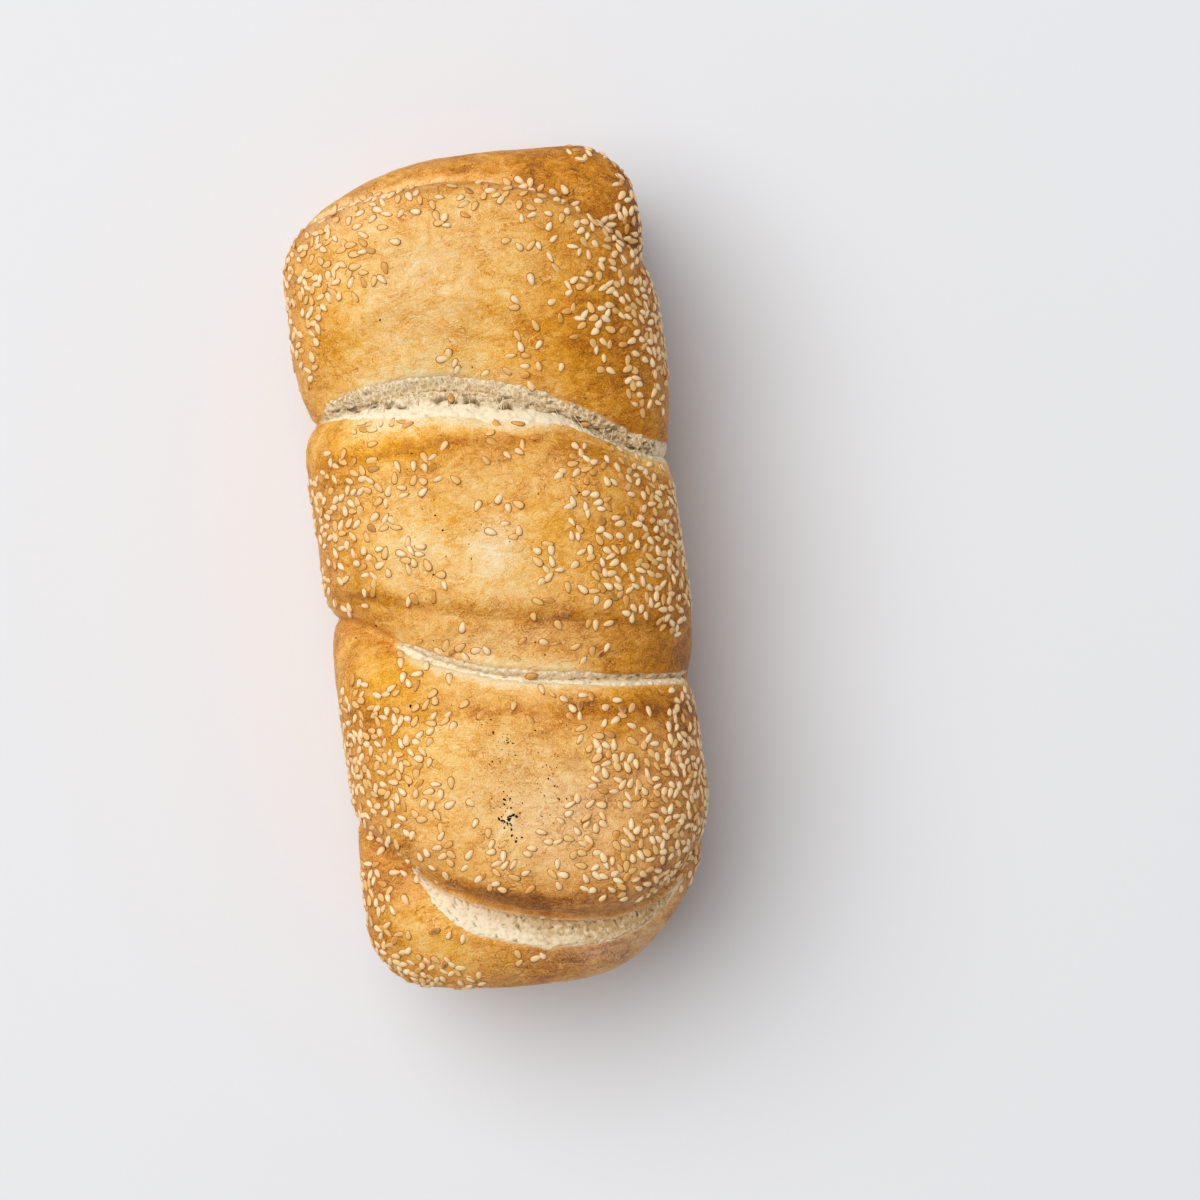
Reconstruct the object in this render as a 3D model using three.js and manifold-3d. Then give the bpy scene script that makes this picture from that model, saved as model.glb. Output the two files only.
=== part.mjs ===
// A white tin loaf baked from two strands of dough twisted together. Five lobes show on top, parted by
// slanting splits that run on down the walls, and pale seeds lie along both sides of the top.
// Millimetres. +Y runs along the loaf, +X across it, +Z up. The origin is the centre of the base.
import * as THREE from 'three';
import { mergeVertices } from 'three/addons/utils/BufferGeometryUtils.js';
import Module from 'manifold-3d';

const { clamp, lerp, smoothstep } = THREE.MathUtils;

// The whole loaf.
const HALF_LENGTH = 114.2;
const HALF_WIDTH = 50.8;
const RIM_HEIGHT = 54;
const AXIS_HEIGHT = 42;
const BASE_CORNER_RADIUS = 9;
const TOP_FULLNESS = 2.5;
const WALL_DRAFT = 0.085;
const END_DRAFT = 0.06;

// The ends: how each corner of the plan falls back and rounds, and how the top and base roll over.
const END_BULGE = 0.8;
const END_RADIUS_TOP = 24;
const END_RADIUS_BASE = 9;
const CORNERS = {
  farLeft: { depth: 19, power: 2.1, radius: 9 },
  farRight: { depth: 3, power: 3, radius: 18 },
  nearLeft: { depth: 6, power: 2.2, radius: 16 },
  nearRight: { depth: 41, power: 2.7, radius: 13 },
};

// Girth of half a section, from the middle of the top down the wall to the middle of the base.
const TOP_RUN = 66;
const WALL_RUN = RIM_HEIGHT - BASE_CORNER_RADIUS;
const CORNER_RUN = BASE_CORNER_RADIUS * Math.PI / 2;
const BASE_RUN = HALF_WIDTH - BASE_CORNER_RADIUS;
const HALF_GIRTH = TOP_RUN + WALL_RUN + CORNER_RUN + BASE_RUN;

// The lobes from the -Y end to the +Y end: height of the crown and reach to the left and right wall.
const LOBES = [
  { crown: 73, left: 49.4, right: 48.2 },
  { crown: 86, left: 49.5, right: 47.3 },
  { crown: 86, left: 50.2, right: 49.1 },
  { crown: 85, left: 50.9, right: 50.8 },
  { crown: 71, left: 50.2, right: 48.2 },
];

// The splits between the lobes. The course is a polynomial in x / 50 mm. Each side of a split has its own
// width on top and on the wall, its steepness, and how far the lip hangs over the floor.
const SPLITS = [
  {
    course: [-93.4, -10.6, 12.0, 5.4, 11.8],
    depth: 4,
    rimLeft: 2.2,
    rimRight: 2,
    below: { width: 14, wall: 8, steepness: 1.1, overhang: 0 },
    above: { width: 18, wall: 9, steepness: 2.1, overhang: 2.6 },
  },
  {
    course: [-29.5, -9.0, 7.6, -4.2],
    depth: 8,
    rimLeft: 2.6,
    rimRight: 1.8,
    below: { width: 22, wall: 9, steepness: 1.7, overhang: 0.5 },
    above: { width: 26, wall: 12, steepness: 1.7, overhang: 0.5 },
  },
  {
    course: [47.6, -9.8, -11.9],
    depth: 9.5,
    rimLeft: 4.2,
    rimRight: 1.6,
    below: { width: 20, wall: 9, steepness: 1.3, overhang: 0 },
    above: { width: 26, wall: 20, steepness: 1.2, overhang: 0 },
  },
  {
    course: [103.0, -3.4, -14.8, -4.9, -3.7],
    depth: 3.5,
    rimLeft: 2.4,
    rimRight: 2.6,
    below: { width: 16, wall: 12, steepness: 2.2, overhang: 2.8 },
    above: { width: 12, wall: 6, steepness: 1.1, overhang: 0 },
  },
];
const COURSE_UNIT = 50;
const WALL_SLANT = 0.42;
const DEPTH_LOW_ON_WALL = 0.7;

// Slow unevenness of the risen dough.
const UNEVENNESS = 0.55;

// The mesh: columns round the girth, rings along the loaf.
const TOP_COLUMNS = 30;
const WALL_COLUMNS = 6;
const CORNER_COLUMNS = 3;
const BASE_COLUMNS = 4;
const SPLIT_STEPS = [0.1, 0.32, 0.62, 1];
const LOBE_RINGS = 2;
const END_RINGS = 6;
const STRAIGHT_SHARE = 0.7;
const ROLLED_SHARE = 0.88;

// The seeds, pointed at one end and half sunk in the crust.
const SEED_LENGTH = 3.6;
const SEED_WIDTH = 2.3;
const SEED_THICKNESS = 1.9;
const SEED_SINK = 0.25;
const SEED_COUNT = 140;
const SEED_SPACING = 4.6;
const SEED_CLEARANCE = 6.5;
const SEED_PATCHES = [
  { x: -37, y: 84, across: 14, along: 14, share: 1 },
  { x: 3, y: 92, across: 22, along: 5, share: 0.6 },
  { x: 36, y: 76, across: 14, along: 22, share: 1 },
  { x: -39, y: 14, across: 12, along: 19, share: 1 },
  { x: -20, y: 27, across: 10, along: 6, share: 0.6 },
  { x: 34, y: 4, across: 15, along: 20, share: 1 },
  { x: -38, y: -56, across: 11, along: 24, share: 1 },
  { x: 27, y: -63, across: 19, along: 20, share: 1 },
  { x: -36, y: -94, across: 13, along: 12, share: 0.8 },
  { x: 43, y: 92, across: 6, along: 12, share: 0.5 },
];
const CRUST_COLOUR = '#c8924a';

/** Repeatable random numbers from 0 to 1. */
function randomSource(seed) {
  let state = seed;
  return () => {
    state = (state * 1664525 + 1013904223) % 4294967296;
    return state / 4294967296;
  };
}

/** The section of one lobe at girth s: x across and z up. */
function section(s, lobe) {
  const g = Math.abs(s);
  const side = Math.sign(s);
  const reach = s < 0 ? lobe.left : lobe.right;
  const onWall = g - TOP_RUN;
  const onCorner = onWall - WALL_RUN;
  const onBase = onCorner - CORNER_RUN;
  if (onBase > 0) {
    const x = (reach - BASE_CORNER_RADIUS) * (1 - onBase / BASE_RUN);
    return { x: side * x, z: 0 };
  }
  if (onCorner > 0) {
    const turn = onCorner / BASE_CORNER_RADIUS;
    const x = reach - BASE_CORNER_RADIUS * (1 - Math.cos(turn));
    return { x: side * x, z: BASE_CORNER_RADIUS * (1 - Math.sin(turn)) };
  }
  if (onWall > 0) return { x: side * reach, z: RIM_HEIGHT - onWall };
  const turn = g / TOP_RUN * Math.PI / 2;
  const x = reach * Math.sin(turn) ** (2 / TOP_FULLNESS);
  const rise = Math.max(Math.cos(turn), 0) ** (2 / TOP_FULLNESS);
  return { x: side * x, z: RIM_HEIGHT + (lobe.crown - RIM_HEIGHT) * rise };
}

/** The corner of the plan nearest to a place. */
function cornerNear(x, v) {
  if (v > 0) return x < 0 ? CORNERS.farLeft : CORNERS.farRight;
  return x < 0 ? CORNERS.nearLeft : CORNERS.nearRight;
}

/** How round the loaf's end is at girth s. */
function endRadius(s, v) {
  const g = Math.abs(s);
  const { radius } = cornerNear(s, v);
  const upper = lerp(END_RADIUS_TOP, radius, smoothstep(g, 0.45 * TOP_RUN, TOP_RUN));
  return lerp(upper, END_RADIUS_BASE, smoothstep(g, TOP_RUN + 0.5 * WALL_RUN, TOP_RUN + WALL_RUN));
}

/** How far the end face stands from the middle of the loaf at x, for the end on the side of v. */
function endReach(x, v) {
  const corner = cornerNear(x, v);
  return HALF_LENGTH - corner.depth * (Math.abs(x) / HALF_WIDTH) ** corner.power;
}

/** Lengths along the loaf's skin at girth s: the straight run, the rolled end and the whole. */
function rail(s, v, lobe) {
  const { x, z } = section(s, lobe);
  const radius = endRadius(s, v);
  const straight = endReach(x, v) - radius;
  const rolled = radius * Math.PI / 2;
  return { x, z, radius, straight, rolled, whole: straight + rolled + HALF_WIDTH - radius };
}

/** The skin of one lobe carried over the whole loaf, at girth s and length v along the skin. */
function skin(s, v, lobe, sink = 0) {
  const { x, z, radius, straight, rolled } = rail(s, v, lobe);
  const run = Math.abs(v);
  const turn = clamp((run - straight) / radius, 0, Math.PI / 2);
  const inset = radius * (1 - Math.cos(turn)) + Math.max(run - straight - rolled, 0);
  const left = clamp(1 - inset / HALF_WIDTH, 0, 1);
  const share = left * (1 - sink / Math.hypot(x, z - AXIS_HEIGHT));
  const px = share * x;
  const onFace = 1 - Math.min(left * HALF_WIDTH / (HALF_WIDTH - radius), 1) ** 2;
  const end = endReach(px, v) - radius * (1 - Math.sin(turn)) + END_BULGE * onFace;
  const py = run < straight ? run : end;
  return new THREE.Vector3(px, Math.sign(v) * py, AXIS_HEIGHT + share * (z - AXIS_HEIGHT));
}

/** Where a split runs at girth s, as a length along the skin. */
function splitCourse(split, s) {
  const edge = TOP_RUN + WALL_RUN + CORNER_RUN;
  const g = Math.abs(s);
  if (g > edge) {
    const towardsLeft = 0.5 - Math.sign(s) * 0.5 * (HALF_GIRTH - g) / (HALF_GIRTH - edge);
    return lerp(splitCourse(split, edge), splitCourse(split, -edge), towardsLeft);
  }
  const { x } = section(clamp(s, -TOP_RUN, TOP_RUN), { crown: 86, left: HALF_WIDTH, right: HALF_WIDTH });
  const onTop = split.course.reduce((sum, c, k) => sum + c * (x / COURSE_UNIT) ** k, 0);
  const down = Math.max(g - TOP_RUN, 0);
  return onTop - Math.sign(s) * WALL_SLANT * down * down / (down + 10);
}

/** How squarely a split crosses the loaf at girth s. */
function splitSquareness(split, s) {
  const slope = splitCourse(split, s + 0.5) - splitCourse(split, s - 0.5);
  return 1 / Math.hypot(1, slope);
}

/** Depth of the split's floor at girth s, fading down the walls and gone on the base. */
function splitDepth(split, s) {
  const g = Math.abs(s);
  const rim = s < 0 ? split.rimLeft : split.rimRight;
  const onTop = lerp(split.depth, rim, smoothstep(g, 0.55 * TOP_RUN, TOP_RUN));
  const onWall = lerp(onTop, DEPTH_LOW_ON_WALL, smoothstep(g, TOP_RUN, TOP_RUN + 0.8 * WALL_RUN));
  return onWall * (1 - smoothstep(g, TOP_RUN + 0.7 * WALL_RUN, TOP_RUN + WALL_RUN));
}

/** Width of one side of a split at girth s, along the skin. */
function splitWidth(split, side, s) {
  const narrowing = smoothstep(Math.abs(s), 0.6 * TOP_RUN, TOP_RUN + 0.2 * WALL_RUN);
  return lerp(side.width, side.wall, narrowing) / splitSquareness(split, s);
}

/** The lowest line of a split: on the lower neighbour's skin, sunk by the depth. */
function splitFloor(index, s) {
  const [near, far] = [LOBES[index], LOBES[index + 1]];
  const shared = {
    crown: Math.min(near.crown, far.crown),
    left: Math.min(near.left, far.left),
    right: Math.min(near.right, far.right),
  };
  return skin(s, splitCourse(SPLITS[index], s), shared, splitDepth(SPLITS[index], s));
}

/** Moves a point of a lobe towards the floor of a split beside it. */
function sinkTowards(point, index, side, s, v, lobe) {
  const split = SPLITS[index];
  const course = splitCourse(split, s);
  const t = Math.abs(v - course) / splitWidth(split, side, s);
  if (t >= 1) return;
  const rise = (1 - (1 - t) ** 2) ** (1 / side.steepness);
  const drop = splitFloor(index, s).sub(skin(s, course, lobe));
  point.addScaledVector(drop, 1 - rise);
  const onTop = 1 - smoothstep(Math.abs(s), 0.7 * TOP_RUN, TOP_RUN);
  point.y += Math.sign(course - v) * side.overhang * onTop * 6.75 * t * (1 - t) ** 2;
}

/** The slow swell and dip of the dough at a point, in millimetres outwards. */
function swell(p) {
  const long = Math.sin(p.x / 13 + p.y / 31 + 0.4) * Math.sin(p.y / 15 - p.x / 40 + 1.3);
  const short = Math.sin(p.x / 6.5 - p.y / 17 + 2) * Math.sin(p.y / 8.5 + p.z / 11 + 0.7);
  return UNEVENNESS * (long + 0.5 * short) * smoothstep(p.z, 4, 24);
}

/** The crust at girth s and length v along the skin, with its splits, draft and unevenness. */
function crust(s, v) {
  const k = SPLITS.filter((split) => v > splitCourse(split, s)).length;
  const lobe = LOBES[k];
  const point = skin(s, v, lobe);
  if (k > 0) sinkTowards(point, k - 1, SPLITS[k - 1].above, s, v, lobe);
  if (k < SPLITS.length) sinkTowards(point, k, SPLITS[k].below, s, v, lobe);
  const swollen = 1 + swell(point) / Math.hypot(point.x, point.z - AXIS_HEIGHT, 12);
  const below = clamp(1 - point.z / RIM_HEIGHT, 0, 1);
  point.x *= swollen * (1 - WALL_DRAFT * below);
  point.y *= 1 - END_DRAFT * below;
  point.z = AXIS_HEIGHT + (point.z - AXIS_HEIGHT) * (point.z > AXIS_HEIGHT ? swollen : 1);
  return point;
}

/** Girth positions of the columns, once round the loaf. */
function columnGirths() {
  const half = [];
  for (let i = 1; i <= WALL_COLUMNS; i++) half.push(TOP_RUN + WALL_RUN * i / WALL_COLUMNS);
  for (let i = 1; i <= CORNER_COLUMNS; i++) half.push(TOP_RUN + WALL_RUN + CORNER_RUN * i / CORNER_COLUMNS);
  for (let i = 1; i <= BASE_COLUMNS; i++) half.push(HALF_GIRTH - BASE_RUN * (1 - i / BASE_COLUMNS));
  const top = Array.from({ length: TOP_COLUMNS + 1 }, (_, i) => TOP_RUN * (2 * i / TOP_COLUMNS - 1));
  return [...half.slice(0, -1).map((g) => -g).reverse(), ...top, ...half];
}

/** Lengths v of one lobe's rings at girth s, following the splits beside it, with the next split's floor. */
function lobeRings(k, s) {
  const first = k === 0;
  const last = k === SPLITS.length;
  const start = first ? -rail(s, -1, LOBES[k]).whole : splitCourse(SPLITS[k - 1], s);
  const stop = last ? rail(s, 1, LOBES[k]).whole : splitCourse(SPLITS[k], s);
  const nearWidth = first ? 0 : splitWidth(SPLITS[k - 1], SPLITS[k - 1].above, s);
  const farWidth = last ? 0 : splitWidth(SPLITS[k], SPLITS[k].below, s);
  const rings = first ? [] : SPLIT_STEPS.map((t) => start + t * nearWidth);
  const count = first || last ? END_RINGS : LOBE_RINGS;
  for (let i = 1; i <= count; i++) rings.push(lerp(start + nearWidth, stop - farWidth, i / (count + 1)));
  if (!last) rings.push(...SPLIT_STEPS.map((t) => stop - t * farWidth).reverse(), stop);
  return rings;
}

/** Length v of a ring that runs square across the base, the share t of the way from end to end. */
function squareRing(t, s) {
  const side = Math.sign(t - 0.5);
  const { straight, rolled, whole } = rail(s, side, side < 0 ? LOBES[0] : LOBES[LOBES.length - 1]);
  const out = Math.abs(2 * t - 1);
  if (out < STRAIGHT_SHARE) return side * straight * out / STRAIGHT_SHARE;
  if (out < ROLLED_SHARE) {
    return side * (straight + rolled * (out - STRAIGHT_SHARE) / (ROLLED_SHARE - STRAIGHT_SHARE));
  }
  return side * lerp(straight + rolled, whole, (out - ROLLED_SHARE) / (1 - ROLLED_SHARE));
}

/** Lengths v of all the rings at girth s: along the splits on top, square across on the base. */
function ringLengths(s) {
  const slanting = LOBES.flatMap((lobe, k) => lobeRings(k, s));
  const squaring = smoothstep(Math.abs(s), TOP_RUN + 0.45 * WALL_RUN, TOP_RUN + WALL_RUN);
  return slanting.map((v, i) => lerp(v, squareRing((i + 1) / (slanting.length + 1), s), squaring));
}

/** The bare loaf as one closed mesh. */
function loafGeometry() {
  const girths = columnGirths();
  const columns = girths.length;
  const lengths = girths.map(ringLengths);
  const rings = lengths[0].map((_, i) => girths.map((s, j) => crust(s, lengths[j][i])));
  const poles = [-1, 1].map((side) => crust(0, side * rail(0, side, LOBES[0]).whole));
  const points = [...rings.flat(), ...poles];
  const near = points.length - 2;
  const far = points.length - 1;
  const index = [];
  for (let j = 0; j < columns; j++) {
    const next = (j + 1) % columns;
    const lastRing = (rings.length - 1) * columns;
    index.push(near, next, j);
    index.push(far, lastRing + j, lastRing + next);
    for (let i = 0; i + 1 < rings.length; i++) {
      const [a, b] = [i * columns + j, i * columns + next];
      const [c, d] = [a + columns, b + columns];
      const fallsToRight = lengths[next][i] + lengths[next][i + 1] < lengths[j][i] + lengths[j][i + 1];
      if (fallsToRight) index.push(a, b, d, a, d, c);
      else index.push(a, b, c, b, d, c);
    }
  }
  const geometry = new THREE.BufferGeometry().setFromPoints(points);
  geometry.setIndex(index);
  return geometry;
}

/** The outward normal of the crust at girth s and length v. */
function crustNormal(s, v) {
  const across = crust(s + 0.8, v).sub(crust(s - 0.8, v));
  const along = crust(s, v + 0.8).sub(crust(s, v - 0.8));
  return across.cross(along).normalize();
}

/** How much seed a place on top carries, from 0 to 1. */
function seedShare(p) {
  return SEED_PATCHES.reduce((most, patch) => {
    const away = ((p.x - patch.x) / patch.across) ** 2 + ((p.y - patch.y) / patch.along) ** 2;
    return Math.max(most, patch.share * (1 - smoothstep(away, 0.6, 1.5)));
  }, 0);
}

/** Whether a place lies clear of every split. */
function clearOfSplits(s, v) {
  return SPLITS.every((split) => Math.abs(v - splitCourse(split, s)) > SEED_CLEARANCE);
}

/** Seed places drawn over the patches, none nearer to another than the spacing. */
function seedPlaces() {
  const random = randomSource(41);
  const places = [];
  for (let tries = 0; tries < 60000 && places.length < SEED_COUNT; tries++) {
    const s = (random() * 2 - 1) * TOP_RUN * 1.08;
    const v = (random() * 2 - 1) * HALF_LENGTH * 1.02;
    const chance = random();
    const turn = random() * Math.PI * 2;
    if (!clearOfSplits(s, v)) continue;
    const point = crust(s, v);
    if (chance > seedShare(point)) continue;
    if (places.some((other) => other.point.distanceTo(point) < SEED_SPACING)) continue;
    places.push({ point, normal: crustNormal(s, v), turn });
  }
  return places;
}

/** One seed lying on the crust at a place. */
function seedGeometry({ point, normal, turn }) {
  const seed = new THREE.SphereGeometry(0.5, 6, 3);
  const position = seed.attributes.position;
  for (let i = 0; i < position.count; i++) {
    const x = position.getX(i);
    const y = -position.getZ(i) * (1 - 0.7 * x);
    position.setXYZ(i, x * SEED_LENGTH, y * SEED_WIDTH, position.getY(i) * SEED_THICKNESS);
  }
  const upright = new THREE.Quaternion().setFromUnitVectors(new THREE.Vector3(0, 0, 1), normal);
  const spin = new THREE.Quaternion().setFromAxisAngle(new THREE.Vector3(0, 0, 1), turn);
  const centre = point.clone().addScaledVector(normal, -SEED_SINK);
  const place = new THREE.Matrix4().compose(centre, upright.multiply(spin), new THREE.Vector3(1, 1, 1));
  return seed.applyMatrix4(place);
}

/** The geometry as a closed solid, with shared corners merged. */
function toManifold(wasm, geometry) {
  const bare = geometry.clone();
  bare.deleteAttribute('normal');
  bare.deleteAttribute('uv');
  const merged = mergeVertices(bare, 1e-4);
  const vertProperties = new Float32Array(merged.attributes.position.array);
  const triVerts = new Uint32Array(merged.index.array);
  return new wasm.Manifold(new wasm.Mesh({ numProp: 3, vertProperties, triVerts }));
}

/** A solid back as geometry, its box centred over the origin and its base at z = 0. */
function toCentredGeometry(solid) {
  const mesh = solid.getMesh();
  const geometry = new THREE.BufferGeometry();
  geometry.setAttribute('position', new THREE.BufferAttribute(new Float32Array(mesh.vertProperties), 3));
  geometry.setIndex(new THREE.BufferAttribute(new Uint32Array(mesh.triVerts), 1));
  geometry.computeBoundingBox();
  const { min, max } = geometry.boundingBox;
  geometry.translate(-(min.x + max.x) / 2, -(min.y + max.y) / 2, -min.z);
  geometry.computeVertexNormals();
  return geometry;
}

const wasm = await Module();
wasm.setup();

let loafSolid = toManifold(wasm, loafGeometry());
for (const place of seedPlaces()) {
  loafSolid = loafSolid.add(toManifold(wasm, seedGeometry(place)));
}

const crustMaterial = new THREE.MeshStandardMaterial({ color: CRUST_COLOUR, roughness: 0.6, metalness: 0 });
const loaf = new THREE.Mesh(toCentredGeometry(loafSolid), crustMaterial);
loaf.name = 'loaf';

const part = new THREE.Group();
part.name = 'seeded_tin_loaf';
part.add(loaf);

export default part;
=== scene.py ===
"""Looks of a seeded tin loaf: crust, torn crumb, seeds and scorched specks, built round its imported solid.

Shapes are worked out in millimetres, in the frame of the solid: +Y along the loaf, +X across, +Z up.
A place on the crust is a girth s, from the middle of the top round to the middle of the base, and a
length v along the skin. Meshes are turned to metres when they are made.
"""

import math

import bmesh
import bpy
import numpy as np
from bpy.props import FloatProperty, FloatVectorProperty, IntProperty, PointerProperty
from mathutils import Matrix, Vector, noise
from mathutils.kdtree import KDTree


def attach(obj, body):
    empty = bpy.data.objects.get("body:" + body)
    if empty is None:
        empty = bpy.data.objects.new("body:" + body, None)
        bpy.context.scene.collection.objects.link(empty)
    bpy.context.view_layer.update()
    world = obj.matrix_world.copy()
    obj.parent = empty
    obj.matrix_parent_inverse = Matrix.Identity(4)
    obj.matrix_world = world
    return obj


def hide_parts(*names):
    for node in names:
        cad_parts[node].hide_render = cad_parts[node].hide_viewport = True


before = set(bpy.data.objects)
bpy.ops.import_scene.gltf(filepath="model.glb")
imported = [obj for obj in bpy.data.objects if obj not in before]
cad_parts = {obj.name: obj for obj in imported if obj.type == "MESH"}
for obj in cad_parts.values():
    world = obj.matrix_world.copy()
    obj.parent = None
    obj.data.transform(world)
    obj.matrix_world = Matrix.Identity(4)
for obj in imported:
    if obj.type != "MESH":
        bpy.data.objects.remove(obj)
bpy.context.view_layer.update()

bl_info = {
    "name": "Seeded tin loaf",
    "version": (1, 0, 0),
    "blender": (4, 5, 0),
    "location": "3D View > Sidebar > Loaf",
    "description": "Crust, crumb, seeds and studio of a twisted tin loaf",
    "category": "Object",
}

MM = 0.001
BODY = "root"
SOLID = "loaf"

# The ends: how each corner of the plan falls back and rounds, and how the top and base roll over.
END_BULGE = 0.8
END_RADIUS_TOP = 24.0
END_RADIUS_BASE = 9.0
CORNERS = {
    "far_left": {"depth": 19.0, "power": 2.1, "radius": 9.0},
    "far_right": {"depth": 3.0, "power": 3.0, "radius": 18.0},
    "near_left": {"depth": 6.0, "power": 2.2, "radius": 16.0},
    "near_right": {"depth": 41.0, "power": 2.7, "radius": 13.0},
}

# The lobes from the -Y end to the +Y end: height of the crown and reach to the left and right wall.
LOBES = np.array([
    (73.0, 49.4, 48.2),
    (86.0, 49.5, 47.3),
    (86.0, 50.2, 49.1),
    (85.0, 50.9, 50.8),
    (71.0, 50.2, 48.2),
])

# The splits between the lobes, from the -Y end. The course is a polynomial in x / 50 mm, and the depth is
# given for the middle of the top and for the left and right rim. Each side has its own width on top and on
# the wall, its steepness, and how far its lip hangs over the split's floor.
SPLITS = (
    {
        "course": (-93.4, -10.6, 12.0, 5.4, 11.8), "depth": 4.0, "rim_left": 2.2, "rim_right": 2.0,
        "below": {"width": 14.0, "wall": 8.0, "steepness": 1.1, "overhang": 0.0},
        "above": {"width": 18.0, "wall": 9.0, "steepness": 2.1, "overhang": 2.6},
    },
    {
        "course": (-29.5, -9.0, 7.6, -4.2), "depth": 8.0, "rim_left": 2.6, "rim_right": 1.8,
        "below": {"width": 22.0, "wall": 9.0, "steepness": 1.7, "overhang": 0.5},
        "above": {"width": 26.0, "wall": 12.0, "steepness": 1.7, "overhang": 0.5},
    },
    {
        "course": (47.6, -9.8, -11.9), "depth": 9.5, "rim_left": 4.2, "rim_right": 1.6,
        "below": {"width": 20.0, "wall": 9.0, "steepness": 1.3, "overhang": 0.0},
        "above": {"width": 26.0, "wall": 20.0, "steepness": 1.2, "overhang": 0.0},
    },
    {
        "course": (105.0, -3.4, -14.8, -4.9, -3.7), "depth": 3.5, "rim_left": 2.4, "rim_right": 2.6,
        "below": {"width": 16.0, "wall": 12.0, "steepness": 2.2, "overhang": 4.2},
        "above": {"width": 12.0, "wall": 6.0, "steepness": 1.1, "overhang": 0.0},
    },
)
COURSE_UNIT = 50.0
NEAR_SPLIT, MIDDLE_SPLIT, FAR_SPLIT, SHUT_SPLIT = range(4)

# How the splits slant on down the walls: how much, how soon, and how deep they still are there.
WALL_SLANT = 0.42
WALL_SLANT_START = 10.0
DEPTH_LOW_ON_WALL = 0.7

# Height of the slow swell of the dough.
UNEVENNESS = 0.55

# Where torn crumb shows in each split. On each side it is a sum of stretches: a width, and four places in x
# where it opens and closes. The crust under it is torn along one stretch, and the crumb's strip runs along
# another. Then come the share of full height that its tufts have, how ragged its edge is, the cells that
# may hold a pore (their size, and the share that do), and how far a web of threads shows. The last split
# is shut, and shows no crumb.
CRUMBS = (
    {
        "piece": "crumb_near_split",
        "above": ((-0.2, -40, -38, -37, -30), (-1.9, -37, -28, 60, 61)),
        "below": ((9.7, -40, -18, 8, 56),),
        "torn": (-38, -28, 28, 38), "strip": (-40, -33, 32, 40),
        "tufts": 0.35, "ragged": 0.3, "cell": 1.5, "pore_shaded_crumb": 0.32, "netted": 0.0,
    },
    {
        "piece": "crumb_middle_split",
        "above": ((2.2, -32, -24, 14, 26), (1.2, 12, 24, 46, 50)),
        "below": ((0.9, -34, -26, 46, 50), (1.2, 12, 26, 46, 50)),
        "torn": (-38, -28, 40, 47), "strip": (-38, -32, 43, 47),
        "tufts": 1.0, "ragged": 0.3, "cell": 1.3, "pore_shaded_crumb": 0.5, "netted": 0.35,
    },
    {
        "piece": "crumb_far_split",
        "above": ((4.3, -48, -38, -10, 14), (3.3, -4, 12, 60, 61)),
        "below": ((6.9, -47, -17, 4, 28), (2.0, 8, 26, 60, 61)),
        "torn": (-46, -40, 40, 47), "strip": (-46.5, -41, 42, 47),
        "tufts": 1.0, "ragged": 0.9, "cell": 1.7, "pore_shaded_crumb": 0.5, "netted": 1.0,
    },
    {"above": (), "below": (), "torn": ()},
)

# Where the skin beside a split stayed pale: split, side, width, stretch in x, how much paler. PALE_FADE is
# how far past its width it fades.
PALE_SKIN = (
    (SHUT_SPLIT, "above", 4.4, (-46, -38, 6, 20), 0.34),
    (FAR_SPLIT, "below", 8.6, (-44, -26, 4, 24), 0.30),
    (FAR_SPLIT, "below", 5.4, (4, 20, 60, 61), 0.34),
    (FAR_SPLIT, "above", 5.0, (-44, -36, -4, 12), 0.15),
    (MIDDLE_SPLIT, "below", 1.9, (-34, -26, 60, 61), 0.40),
    (MIDDLE_SPLIT, "above", 4.2, (-22, -8, 16, 24), 0.20),
    (NEAR_SPLIT, "below", 6.0, (16, 32, 60, 61), 0.16),
)
PALE_FADE = 1.3

# Where the crust is browner (above 0) or paler (below 0), with a painted highlight and painted shade among
# them: x, y, reach across and along, amount.
BAKE_AND_PAINTED_LIGHT_PATCHES = (
    (-14, 78, 24, 18, -0.11),
    (-14, 56, 24, 5, -0.12),
    (24, 62, 13, 10, 0.13),
    # Partly a painted highlight in the middle of the third lobe, partly paler crust.
    (-3, 3, 8, 8, -0.19),
    (-22, 4, 11, 9, -0.07),
    (36, -36, 14, 9, 0.12),
    (12, -40, 16, 6, 0.06),
    (-20, -41, 14, 6, -0.15),
    (-8, -58, 16, 16, -0.10),
    (36, -16, 10, 6, -0.06),
    (32, 30, 12, 6, 0.07),
    (44, -80, 9, 14, -0.13),
    (12, -103, 14, 5, 0.16),
    (-16, -113, 30, 5, 0.14),
    (-33, -76, 13, 12, 0.13),
    (-40, -8, 12, 8, 0.10),
    (-10, -20, 18, 4, -0.06),
    (-34, -100, 10, 10, -0.08),
    (4, -108, 14, 8, 0.10),
    (38, 104, 10, 13, -0.17),
    (2, 68, 20, 16, -0.04),
    (26, 18, 9, 8, -0.09),
    (0, -40, 40, 7, -0.06),
    (-14, -10, 12, 9, -0.07),
    (14, 104, 12, 7, 0.08),
    (10, 97, 22, 6, -0.06),
    (-20, 64, 14, 7, -0.06),
    # Partly a painted highlight in the middle of the third lobe, partly paler crust.
    (0, 8, 6, 6, -0.17),
    (-24, 9, 9, 7, -0.13),
    (-38, -10, 8, 7, -0.08),
    (-25, -22, 10, 6, 0.14),
    (-36, 32, 10, 4, -0.10),
    (35, -43, 10, 8, -0.10),
    (-34, -88, 8, 6, -0.09),
    # Partly browner crust, partly painted shade along the second lobe's lip.
    (4, -88, 18, 4, 0.14),
    (-42, -48, 10, 16, 0.07),
    (-44, 18, 10, 14, 0.08),
    (-24, -8, 8, 5, 0.10),
    (12, -16, 9, 5, 0.14),
    (14, 4, 6, 10, 0.07),
)
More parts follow.
